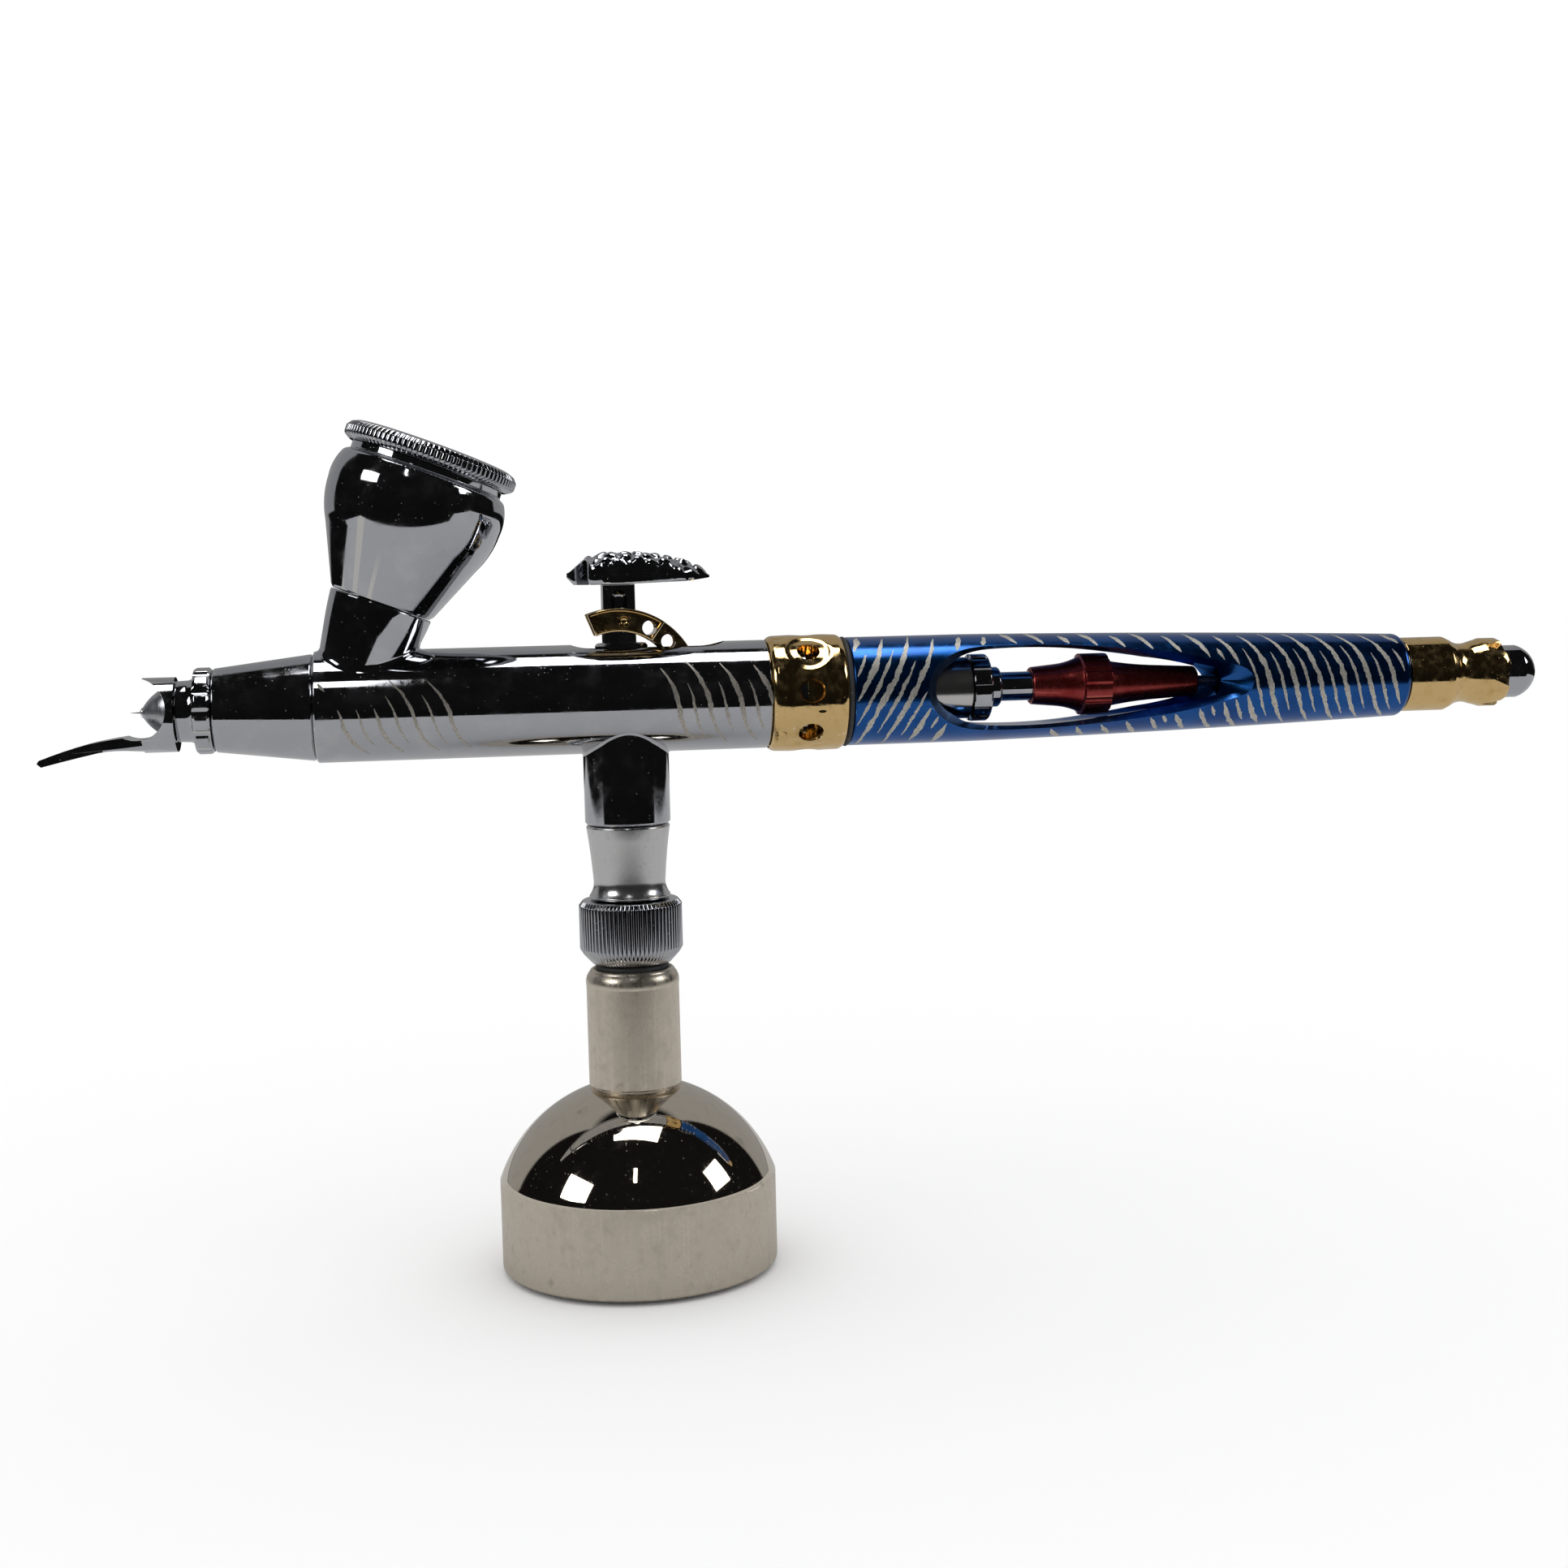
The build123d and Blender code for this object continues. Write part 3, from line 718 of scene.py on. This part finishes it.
def saddle_fillet(name, node, place, cone_radius, reach):
    """Fillet ring where a socket meets the body tube, tangent to both."""
    shape = bmesh.new()
    rows = []
    down = place((0, 0, 0)) - place((0, 0, 1))
    for ray in circle(Vector(), Vector((1, 0, 0)), Vector((0, 1, 0)), 1, 160):
        def wall(height):
            return place(ray * cone_radius(height) + Vector((0, 0, height)))

        low, high = 0, 14.0
        for _ in range(40):
            middle = (low + high) / 2
            spot = wall(middle)
            if hypot(spot.y, spot.z - AXIS_Z) > TUBE_R:
                high = middle
            else:
                low = middle
        foot = wall(high)
        top = wall(high + reach)
        outward = (place(ray) - place((0, 0, 0))).normalized()
        flat = foot + (outward + down * 0.2).normalized() * reach
        around = Vector((0, flat.y, flat.z - AXIS_Z))
        spread = Vector((flat.x, 0, AXIS_Z)) + around.normalized() * (TUBE_R - 0.005)
        row = [curve(top, foot, spread, step / 8) for step in range(9)]
        row.append(Vector((foot.x, foot.y * 0.9, AXIS_Z + (foot.z - AXIS_Z) * 0.9)))
        rows.append([shape.verts.new(point) for point in row])
    skin(shape, rows, joined=True)
    goes_with(from_bmesh(name, shape, 50), node)


def make_cup():
    lathe("cup_socket", "cup_cone", [
        (3, 1.6), (3, 4.3), (8.3, 5.2), (11.55, 5.6, 0.03), (11.68, 5.5), (11.68, 3.45), (8.2, 3.45),
        (8.2, 1.6),
    ], leaning)
    saddle_fillet("cup_fillet", "cup_socket", leaning, lambda h: 4.3 + (h - 3) * 0.9 / 5.3, 0.6)
    lathe("paint_cup", "paint_cup_bowl", [
        (8.8, 1.6), (8.8, 3.4), (11.76, 3.4), (11.76, 5.4), (12.15, 5.75), (18.3, 8.4), (22.9, 9.6, 0.28),
        (25.8, 9.15, 0.2), (26.45, 8.45, 0.12), (26.6, 8.35), (27.25, 8.35), (27.25, 7.6), (26.4, 7.6),
        (22.9, 8.75, -0.3), (18.6, 7.6, -0.25), (12.4, 2.6), (11.2, 1.6),
    ], leaning, segments=256, corner=0.06, sharp=30)
    lathe("cup_lid", "knurled_lid", [
        (28.1, 0.8), (28.1, 6.6), (26.6, 6.6), (26.6, 7.4), (27.3, 7.4), (27.3, 8.7), (27.7, 9.35),
        (27.95, 9.5), (28.7, 9.5), (29.2, 9.1), (29.45, 8.5), (29.45, 7.2), (28.95, 6.4), (28.95, 0.8),
    ], leaning, segments=96 * 12, corner=0.08, wave=knurl(96, 0.24, 8.9, 0.45))


def make_spray_head():
    cap = turned("air_cap_turned", [
        (-51.5, 0.48), (-51.35, 0.5), (-49.8, 2.15, 0.12), (-48.4, 2.95, 0.1), (-47.75, 2.95),
        (-47.7, 3.25), (-46.7, 3.3), (-45.85, 3.6, -0.08), (-45.8, 4.45), (-45.5, 4.65), (-44.3, 4.65),
        (-44, 4.4), (-44, 2.55), (-38.6, 2.55), (-38.6, 1.9), (-47.5, 1.9),
    ], lying, segments=360, wave=fluted(5.15, 0.75, 4))
    stands_for(cap, "air_cap", FINISHES["air_cap_chrome"])
    needle_front, needle_rear = span("needle", X)
    lathe("needle", "polished_needle", [
        (needle_front, 0.02), (-44.5, 0.6), (needle_rear - 0.4, 0.6), (needle_rear, 0.3), (needle_rear, 0),
        (needle_front, 0),
    ], lying, segments=64, corner=0.03)
    stands_for(refined("needle_cap", 0.22, "crescent_cap", 3), "needle_cap")


# ---- trigger
def divided(line, step):
    """Closed outline with points added until no side is longer than step."""
    out = []
    for start, end in zip(line, line[1:] + line[:1]):
        start, end = Vector(start), Vector(end)
        pieces = max(1, ceil((end - start).length / step))
        out.extend(start.lerp(end, index / pieces) for index in range(pieces))
    return out


def nubs(x, y, size, height):
    """Scale-like bumps, one in each cell of a seeded cell pattern."""
    near = noise.voronoi((x / size, y / size, 3.7))[0]
    edge = min(1, max(0, (near[1] - near[0]) / 0.35))
    return height * edge * (1.3 - near[0])


def make_pad():
    bottom, crown_top = span("trigger_pad", Z)
    crown_r = 26.0
    leaf = traced([
        (-5.9, 0), (-5, -1.6), (-3.7, -3.2), (-2.2, -4.2), (4.5, -3.7, -0.45), (9.8, 0, -0.5),
        (4.5, 3.7, -0.5), (-2.2, 4.2, -0.45), (-3.7, 3.2), (-5, 1.6),
    ])
    rim = divided(leaf, 0.2)
    middle = Vector((1.5, 0))

    def under(x):
        return bottom + float(np.interp(x, (-5.9, -5.1, 0, 7.5, 11), (0.8, 0, 0, 0.2, 0.7)))

    def top(x, y, share):
        crown = crown_top - crown_r + sqrt(crown_r ** 2 - x * x - y * y)
        nose = bottom + float(np.interp(x, (-5.9, -5.6, -3.9, -3), (1.3, 1.4, 2.8, 4.5)))
        textured = min(1, max(0, (x + 4) / 0.6))
        drop = 0.18 + 0.75 * share ** 10
        bump = nubs(x, y, 1.7, 0.55)
        return max(under(x) + 0.3, min(crown - textured * (drop - bump), nose))

    shape = bmesh.new()

    def ring(share, lift):
        """Row at a share of the way out to the rim, and of the way up from the underside to the top."""
        row = []
        for point in rim if share else rim[:1]:
            x, y = middle.lerp(point, share)
            row.append(shape.verts.new((x, y, under(x) + (top(x, y, share) - under(x)) * lift)))
        return row

    steps = 40
    rows = [ring(step / steps, 1) for step in range(steps + 1)]
    rows += [ring(1, lift) for lift in (0.7, 0.35, 0.06)]
    rows += [ring(share, 0) for share in (0.985, 0.5, 0)]
    skin(shape, rows)
    stands_for(from_bmesh("scaly_pad", shape, 50), "trigger_pad")


def shrunk(outline, inset):
    """A closed outline moved inwards, whichever way round it runs."""
    outline = [Vector(p) for p in outline]
    area = sum(a.x * b.y - b.x * a.y for a, b in zip(outline, outline[1:] + outline[:1]))
    side = 1 if area > 0 else -1
    moved = []
    for index, here in enumerate(outline):
        back = (here - outline[index - 1]).normalized()
        ahead = (outline[(index + 1) % len(outline)] - here).normalized()
        inward = (Vector((-back.y, back.x)) + Vector((-ahead.y, ahead.x))) * side
        moved.append(here + inward * (inset / max(0.4, 1 + back.dot(ahead))))
    return moved


def across(name, outline, levels):
    """Solid across Y through an (x, up) outline, drawn in by an inset at each (y, inset) level."""
    return lofted(name, [[(p.x, y, AXIS_Z + p.y) for p in shrunk(outline, inset)] for y, inset in levels])


def both_sides(levels):
    """Levels of one side, outermost first, with the other side's before them."""
    return [(-y, inset) for y, inset in levels] + levels[::-1]


def make_lever():
    outline = divided(traced([
        (-2.15, 12.5), (-2.15, 5), (-1.9, 4.5), (-1.9, -3), (0.7, -3, -0.2), (1.2, 4.5), (1.42, 5),
        (1.42, 12.5),
    ]), 0.8)
    stem = across("lever_stem", outline, both_sides([(1.5, 0.16), (1.45, 0.06), (1.34, 0)]))

    def flat_sides(_, radius, angle):
        return min(0, 2.17 / max(0.01, abs(sin(angle))) - radius)

    collar = turned("collar", [
        (5.3, 0), (5.3, 2.5), (5.5, 2.78), (5.8, 2.9, 0.05), (6.05, 2.7), (6.1, 2.5), (6.1, 0),
    ], rising(-0.15, 0), segments=180, corner=0.06, wave=flat_sides)
    lever = combined(stem, [collar], "UNION")
    way = across("needle_way", ((-4, -5), (4, -5), (4, 3.6), (-4, 3.6)), both_sides([(0.85, 0)]))
    tools = [way, round_bar("pin_hole", (0.06, -4, AXIS_Z + 8.47), (0.06, 4, AXIS_Z + 8.47), 0.77)]
    for side in (-1, 1):
        tools.append(turned(f"scoop_{side}", [(8.2, 0), (8.2, 0.85), (11, 0.85), (11.85, 0, 0.249)],
                            rising(-0.37, side * 1.6), segments=48, corner=0))
    stands_for(combined(lever, tools, sharp=32), "trigger_lever")


def make_blade():
    """Fork of two cheeks with a raised border about a sunk panel, and a narrower tail."""
    def at(radius, turn):
        return Vector((-0.6, 0.9)) + Vector((cos(radians(turn)), sin(radians(turn)))) * radius

    def sector(first, last):
        turns = np.linspace(first, last, 28)
        return [at(9, turn) for turn in turns] + [at(6.45, turn) for turn in reversed(turns)]

    cheek = [
        (1.55, 0.03), (1.6, 0), (2.02, 0), (2.14, 0.05), (2.19, 0.14), (2.2, 0.24), (2.17, 0.31),
        (2.08, 0.36),
    ]
    cheeks = [across(f"cheek_{side}", sector(112, 55), [(side * y, inset) for y, inset in cheek])
              for side in (-1, 1)]
    blade = across("curved_blade", sector(59, 10), both_sides([(1.6, 0.2), (1.55, 0.06), (1.42, 0)]))
    blade = combined(blade, cheeks, "UNION", solver="MANIFOLD")
    gap = ((4.5, -4), (12, -4), (12, 7), (4.5, 7))
    tools = [across("tail_gap", gap, both_sides([(0.85, 0)]))]
    for turn, radius in ((85, 0.77), (63, 0.8), (43.5, 0.8)):
        x, up = at(7.6, turn)
        tools.append(round_bar(f"hole_{turn}", (x, -4, AXIS_Z + up), (x, 4, AXIS_Z + up), radius, 64))
    stands_for(combined(blade, tools, sharp=32, solver="MANIFOLD"), "trigger_blade")
    stands_for(refined("blade_pin", 0.06, "dimpled_pin"), "blade_pin", FINISHES["gold_plate"])


# ---- needle train
def make_needle_train():
    bore = 1.7

    def gaps(_, radius, angle):
        """Twelve square gaps in the castellated rim."""
        side = off_twelfth(angle)
        if radius < 3.5 or abs(radius * sin(side)) > 0.425:
            return 0.0
        return 3.49 / cos(side) - radius

    lathe("tension_nut", "castellated_nut", [
        (35, bore), (35, 2.4), (38.9, 2.4), (38.9, 3.78), (40.7, 3.78), (40.95, 3.55), (40.95, 2.1),
        (41.2, 2.27), (42.1, 2.27), (42.35, 2.1), (42.35, bore),
    ], lying, segments=480, wave=gaps)

    lathe("chuck_nut", "fluted_nut", [
        (46, bore), (46, 2), (46.15, 2.12), (48.9, 2.38), (51.6, 3.1, -0.12), (51.75, 3.5),
        (54.8, 3.5), (54.95, 2.62), (60.1, 1.98, -0.08), (65.3, 1.7), (65.5, 1.5), (65.5, 0.75),
        (57.4, 0.75), (57.4, 1.45), (47.3, 1.45), (47.3, bore),
    ], lying, segments=480, corner=0.06, wave=fluted(3.95, 0.6, 3.3))


# ---- grip ring, handle and rear end
def around_tube(x, elevation, radius):
    """Point on a circle about the airbrush axis; elevation is measured up from the front, -Y."""
    angle = radians(elevation)
    return Vector((x, -radius * cos(angle), AXIS_Z + radius * sin(angle)))


def ring_dents():
    """Dents of the grip ring: (x, elevation, half length, half height, depth, flat share of the floor)."""
    dents = [
        (20, 49, 2.7, 2.7, 0.22, 0.72), (20, 229, 2.7, 2.7, 0.22, 0.72),
        (21.1, -15, 0.6, 0.3, 0.14, 0.1), (16.9, -41, 0.45, 0.45, 0.16, 0.1),
        (18.3, -39, 0.8, 0.8, 0.07, 0.3), (22.7, -38, 0.6, 0.9, 0.05, 0.2),
    ]
    chance = random.Random(5)
    for _ in range(34):
        size = chance.uniform(0.5, 1.3)
        dents.append((chance.uniform(16.8, 23.4), chance.uniform(60, 320), size,
                      size * chance.uniform(0.6, 1.2), chance.uniform(0.03, 0.09), 0.2))
    return dents


def make_grip_ring():
    front, _ = span("grip_ring", X)
    rim_x = 24.2
    dents = ring_dents()

    def hammered(height, radius, angle):
        if radius < 5.9:
            return 0.0
        elevation = -degrees(angle) - 90
        change = 0.05 * noise.noise((height / 1.9, 2.6 * cos(angle), 2.6 * sin(angle)))
        for x, up, half_x, half_up, depth, flat in dents:
            turn = (elevation - up + 180) % 360 - 180
            reach = hypot((height - x) / half_x, radians(turn) * 6.3 / half_up)
            if reach < 1.0:
                t = min(1, (1.0 - reach) / (1.0 - flat))
                change -= depth * t * t * (3 - 2 * t)
        return change * min(1, (height - front) / 0.6, (rim_x - height) / 0.6)

    crown = [(16.6 + 6.8 * share, 6.4 + 0.24 * share * (1 - share)) for share in np.arange(1, 56) / 56]
    ring = turned("hammered_ring", [(front, 5.22), (front, 6.05), (16.6, 6.4, 0.1)] + crown + [
        (23.4, 6.4), (rim_x, 6, 0.1), (rim_x, 4.95), (30.4, 4.95), (30.4, 3.55), (19.9, 3.55), (19.9, 5.22),
    ], lying, segments=360, wave=hammered)
    holes = []
    middle, side = Vector((20, 0, AXIS_Z)), Vector((1, 0, 0))
    profile = ((4.4, 1.2), (6.02, 1.2), (6.14, 1.22), (6.26, 1.27), (6.38, 1.36), (6.7, 1.6))
    for index in range(8):
        tilt = radians(45 * index + 4)
        outward = Vector((0, -cos(tilt), sin(tilt)))
        other = outward.cross(side)
        rings = [circle(middle + outward * reach, side, other, radius, 64) for reach, radius in profile]
        holes.append(lofted(f"ring_hole_{index}", rings))
    stands_for(combined(ring, holes, sharp=48), "grip_ring")
    seal_front, seal_rear = span("ring_seal", X)
    lathe("ring_seal", "ring_washer", [
        (seal_front, 4.97), (seal_front, 5.95), (24.4, 6.12), (24.6, 6.12), (seal_rear, 5.95),
        (seal_rear, 4.97),
    ], lying, corner=0.08)


def handle_radius(x):
    """Outer radius of the handle: a straight front, then one long shallow arc."""
    start, end, rise = (38, 6.05), (89.1, 4.78), 0.16
    if x <= start[0]:
        return start[1]
    chord = dist(start, end)
    radius = (chord ** 2 / 4 + rise ** 2) / (2 * rise)
    middle = ((start[0] + end[0]) / 2, (start[1] + end[1]) / 2)
    slope = atan2(end[1] - start[1], end[0] - start[0])
    centre = (middle[0] + sin(slope) * (radius - rise), middle[1] - cos(slope) * (radius - rise))
    return centre[1] + sqrt(radius ** 2 - (x - centre[0]) ** 2)


def make_handle():
    front, rear = span("handle", X)
    flare_start = 3.1

    def flare(x, lengthwise):
        """Growth of the window's rim per millimetre outwards, with a long ramp at the rear tip."""
        behind = min(1, max(0, (x - 58) / 9.6))
        return tan(radians(33)) * (1 + 1.1 * behind * lengthwise ** 2)

    outer = [(front, 5), (front, 5.9), (front + 0.15, 6.05)]
    outer += [(x, handle_radius(x)) for x in np.arange(26, 89, 1.5)]
    shell = turned("etched_handle", outer + [
        (89.1, 4.78), (rear, 3.9, 0.3), (rear, 3), (76, 3), (76, 1.8), (68.4, 1.8), (66.8, 4.2),
        (31, 4.2), (31, 5),
    ], lying, segments=288, sharp=30)
    window = spline_loop([
        (34.9, 0.1), (36.5, 3.1), (41.5, 4.4), (50, 4.2), (58, 3.2), (64.5, 1.75), (67.6, 0.1),
        (64.5, -1.55), (58, -3), (50, -4), (41.5, -4.2), (36.5, -2.9),
    ], 420)
    outward = [Vector((a.y - b.y, b.x - a.x)).normalized()
               for a, b in zip(window[-1:] + window[:-1], window[1:] + window[:1])]

    def level(side, depth):
        ring = []
        for p, n in zip(window, outward):
            grow = max(0, depth - flare_start) * flare(p.x, n.x)
            ring.append(Vector((p.x + n.x * grow, side * depth, AXIS_Z + p.y + n.y * grow)))
        return ring

    levels = ((-1, 7.5), (-1, flare_start), (1, flare_start), (1, 7.5))
    shell = combined(shell, [lofted("window_cutter", [level(*sides) for sides in levels])], sharp=30)
    round_normals(shell, handle_radius, 0.03)
    stands_for(shell, "handle")

    def clear_of_window(x, up):
        """True where the handle's outer surface lies outside the window's flared rim."""
        if not front + 0.3 < x < 88.9:
            return False
        spot = around_tube(x, degrees(up), handle_radius(x))
        here = Vector((x, spot.z - AXIS_Z))
        edge, way_out = min(zip(window, outward), key=lambda pair: (pair[0] - here).length_squared)
        opened = max(0, abs(spot.y) - flare_start) * flare(edge.x, way_out.x)
        return (here - edge).dot(way_out) > opened + 0.15

    strokes = slanting_lines(26, 43, 1.45, 82, -80, -6.5, 0.62, 3)
    strokes += slanting_lines(42, 92, 1.5, 84, -80, 7, 0.58, 4)
    make_etching("handle_etching", strokes, "handle", "etched_silver", handle_radius, clear_of_window)


# ---- etched lines
def slanting_lines(first, last, pitch, top, bottom, lean, width, seed):
    """Plain tapered lines at an even pitch, long and short by turns: (width, [(x, elevation), ...])."""
    chance = random.Random(seed)
    strokes = []
    for number, x in enumerate(np.arange(first, last, pitch)):
        short = number % 2
        reach = top - bottom
        high = top - short * 0.2 * reach - chance.uniform(0, 0.1) * reach
        low = bottom + short * 0.15 * reach + chance.uniform(0, 0.1) * reach
        path = []
        for up in np.linspace(high, low, 6):
            share = (top - up) / reach
            path.append((x + lean * share + 0.5 * sin(2 * pi * share), up))
        strokes.append((width * (0.6 if short else 1), path))
    return strokes


def smooth_path(points, spacing):
    """Points every spacing millimetres along a smooth open curve through (x, elevation) points."""
    mean_r = 5.8
    flat = [Vector((x, radians(up) * mean_r)) for x, up in points]
    ends = [flat[0] * 2 - flat[1]] + flat + [flat[-1] * 2 - flat[-2]]
    path = []
    for a, b, c, d in zip(ends, ends[1:], ends[2:], ends[3:]):
        pieces = max(2, ceil((c - b).length / spacing))
        for index in range(pieces):
            t = index / pieces
            path.append(0.5 * (2 * b + (c - a) * t + (2 * a - 5 * b + 4 * c - d) * t ** 2
                               + (3 * b - a - 3 * c + d) * t ** 3))
    path.append(flat[-1])
    return [(p.x, p.y / mean_r) for p in path]


def stroke_rows(path, width, radius_at, seed):
    """Cross rows of one stroke: two edge points on the surface and two sunk just under it."""
    proud, sunk = 0.012, 0.05
    rows = []
    for index, (x, up) in enumerate(path):
        before, after = path[max(0, index - 1)], path[min(len(path) - 1, index + 1)]
        radius = radius_at(x)
        along = Vector((after[0] - before[0], (after[1] - before[1]) * radius)).normalized()
        left = Vector((-along.y, along.x))
        share = index / (len(path) - 1)
        swell = max(0.06, sin(pi * share)) ** 0.55
        row = []
        for side in (1, -1):
            rough = noise.noise((x * 4.5, up * 27, seed * 3.1 + side)) * 0.11
            swing = noise.noise((x * 0.8, up * 5, seed + side * 7)) * 0.35 * width
            reach = max(0.02, width / 2 * swell + (rough + swing) * swell) * side
            edge_x, edge_up = x + left.x * reach, up + left.y * reach / radius
            level = radius_at(edge_x)
            angle = degrees(edge_up)
            row.append((around_tube(edge_x, angle, level + proud), around_tube(edge_x, angle, level - sunk)))
        rows.append([row[0][0], row[1][0], row[1][1], row[0][1]])
    return rows


def make_etching(name, strokes, node, finish, radius_at, kept):
    """Strokes on the front and, mirrored, on the back of a round part, as thin inlaid solids."""
    shape = bmesh.new()
    for number, (width, points) in enumerate(strokes):
        for back in (False, True):
            path = smooth_path([(x, 180 - up if back else up) for x, up in points], 0.16)
            for shown, run in groupby(path, lambda spot: kept(*spot)):
                run = list(run)
                if shown and len(run) > 7:
                    loft(shape, stroke_rows(run, width, radius_at, number + 40 * back))
    goes_with(from_bmesh(name, shape, 60), node, FINISHES[finish])


def make_rear_end():
    sleeve = turned("notched_sleeve", [
        (77, 1.05), (77, 2), (90.1, 2), (90.1, 4.28), (95.4, 4.28), (96.1, 3.95), (98.9, 3.6, -0.35),
        (100.2, 3.97, -0.02), (101.9, 3.97), (102.5, 3.7), (102.5, 3.1), (98.4, 3.1), (98.4, 2),
        (96.5, 2), (96.5, 1.05),
    ], lying, segments=240, corner=0.08)
    notches = []
    for index in range(6):
        tilt = radians(60 * index + 38)
        outward = Vector((0, -sin(tilt), cos(tilt)))
        side = Vector((1, 0, 0)).cross(outward)
        apex, back = Vector((99.9, 0, AXIS_Z)), Vector((102.9, 0, AXIS_Z))
        wedge = (apex, back + side * 1.35, back - side * 1.35)
        notches.append(lofted(f"notch_{index}", [[p + outward * out for p in wedge] for out in (3.2, 5.2)]))
    stands_for(combined(sleeve, notches, sharp=35), "limiter_sleeve")
    lathe("end_button", "domed_button", [
        (75, 0), (75, 1), (99.5, 1), (99.5, 3.05), (104.6, 3.05), (106.9, 0.5, 0.5), (106.9, 0),
    ], lying, corner=0.1)


# ---- springs
def make_spring(node):
    """A spring: a copy of its CAD node's mesh that takes the node's place."""
    coil = stands_for(new_object(node + "_coil", frame["nodes"][node].data.copy()), node)
    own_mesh(coil)


# ---- stage, light and camera
def make_floor():
    """A pale table top, and in its place a greyer patch of painted shade, the table in front as if shaded, that
    only the metal's reflections see.
    """
    def sheet(name, low, high, level, tone):
        finish = Finish(name, 0, (tone, tone, tone), 0.9)
        finish.shader["Specular IOR Level"].default_value = 0.0
        finish.roughness(finish.cloud(6, 3, 0.3, 0.7, 0.85, 0.95))
        finish.bump(finish.noise(0.8, 2), 0.004)
        mesh = bpy.data.meshes.new(name)
        corners = [(low[0], low[1]), (high[0], low[1]), (high[0], high[1]), (low[0], high[1])]
        mesh.from_pydata([(x, y, level) for x, y in corners], [], [(0, 1, 2, 3)])
        mesh.materials.append(FINISHES[name])
        made = new_object(name, mesh)
        return made

    table = sheet("pale_floor", (-8, -8), (8, 8), -0.0002, 0.94)
    table.visible_glossy = False
    # Painted shade: this grey sheet (tone 0.50), seen only in reflections, stands for the table in front lying in
    # shade.
    reflected = sheet("painted_shade_floor", (-0.5, -0.15), (0.5, 0.6), 0, 0.50)
    reflected.visible_camera = reflected.visible_diffuse = reflected.visible_shadow = False


def make_world():
    """Bright surroundings, but in reflections a dark room with a grey rear wall."""
    world = bpy.data.worlds.new("studio")
    bpy.context.scene.world = world
    world.use_nodes = True
    world.node_tree.nodes.clear()
    sky = Graph(world.node_tree)
    generated = sky.node("ShaderNodeTexCoord").outputs["Generated"]
    x, y, z = sky.node("ShaderNodeSeparateXYZ", Vector=generated).outputs
    level = sky.math("SQRT", sky.plus(sky.times(x, x), sky.times(y, y)))
    level = sky.math("MAXIMUM", level, 0.001)
    behind = sky.ramp(sky.math("DIVIDE", y, level), 0.51, 0.56)
    low_enough = sky.ramp(sky.math("DIVIDE", z, level), 1.6, 2.2, 1, 0)
    above_table = sky.ramp(z, -0.02, 0)
    wall = sky.times(sky.times(behind, low_enough), above_table)
    seen = sky.plus(sky.times(wall, 0.40), 0.008)
    reflected = sky.node("ShaderNodeBackground", Strength=seen).outputs[0]
    ambient = sky.node("ShaderNodeBackground", Color=(1, 1, 1, 1), Strength=1.07).outputs[0]
    glossy = sky.node("ShaderNodeLightPath").outputs["Is Glossy Ray"]
    either = sky.node("ShaderNodeMixShader")
    for socket, value in zip(either.inputs, (glossy, ambient, reflected)):
        sky.feed(socket, value)
    sky.node("ShaderNodeOutputWorld", Surface=either.outputs[0])


def make_light(name, azimuth, elevation, width, height):
    """Softbox facing the airbrush; azimuth 0 is the camera's side, 90 is +X."""
    distance, radiance = 0.9, 5.0
    data = bpy.data.lights.new(name, "AREA")
    data.shape = "RECTANGLE"
    data.size, data.size_y = width, height
    data.energy = radiance * pi * width * height
    made = new_object(name, data)
    a, e = radians(azimuth), radians(elevation)
    away = Vector((sin(a) * cos(e), -cos(a) * cos(e), sin(e)))
    made.location = Vector((0, 0, AXIS_Z * MM)) + away * distance
    made.rotation_mode = "QUATERNION"
    made.rotation_quaternion = away.to_track_quat("Z", "Y")
    made.visible_camera = made.visible_diffuse = False


def make_camera():
    data = bpy.data.cameras.new("photo_camera")
    data.lens = 48.8
    data.sensor_width = 36.0
    data.clip_start, data.clip_end = 0.01, 50.0
    made = new_object("photo_camera", data)
    aim = Matrix.Rotation(-0.151, 4, "Z") @ Matrix.Rotation(-0.0894, 4, "X") @ Matrix.Rotation(0.0234, 4, "Y")
    made.matrix_world = (Matrix.Translation(Vector((-18.0428, -234.1598, 74.6223)) * MM) @ aim
                         @ Matrix.Rotation(pi / 2, 4, "X"))
    bpy.context.scene.camera = made
    bpy.context.scene.view_settings.view_transform = "Standard"


# ---- build everything
def main():
    chrome("chrome")
    satin("satin_chrome", (0.66, 0.66, 0.66), CHROME_WORN, 0.2, 0.34, (1, 1, 0.1))
    satin("satin_steel", STEEL, CHROME_WORN, 0.16, 0.30, (0.1, 1, 1))
    satin("spring_steel", (0.44, 0.44, 0.45), STEEL, 0.18, 0.34, (1, 1, 1))
    for make in (stand_metal, gold, soft_black, blue_anodised, red_anodised, ptfe, air_cap_metal):
        make()
    etching("etched_chrome", (0.34, 0.32, 0.285), (0.60, 0.56, 0.50), 0.9)
    etching("etched_silver", (0.36, 0.345, 0.31), (0.66, 0.635, 0.58), 0.8)
    for node, piece in frame["nodes"].items():
        piece.data.materials.clear()
        piece.data.materials.append(FINISHES[SLOT_OF[node]])
    for make in (make_stand, make_valve, make_body, make_cup, make_spray_head, make_pad, make_lever,
                 make_blade, make_needle_train, make_grip_ring, make_handle, make_rear_end):
        make()
    make_spring("valve_spring")
    make_spring("needle_spring")
    make_spring("button_spring")
    make_floor()
    make_world()
    make_light("left_softbox", -64, 29, 0.36, 0.27)
    make_light("right_softbox", 75, 28, 0.28, 0.25)
    make_light("top_softbox", 168, 87, 0.49, 0.38)
    make_light("bar_light", -8, 49, 0.04, 0.19)
    make_camera()


main()
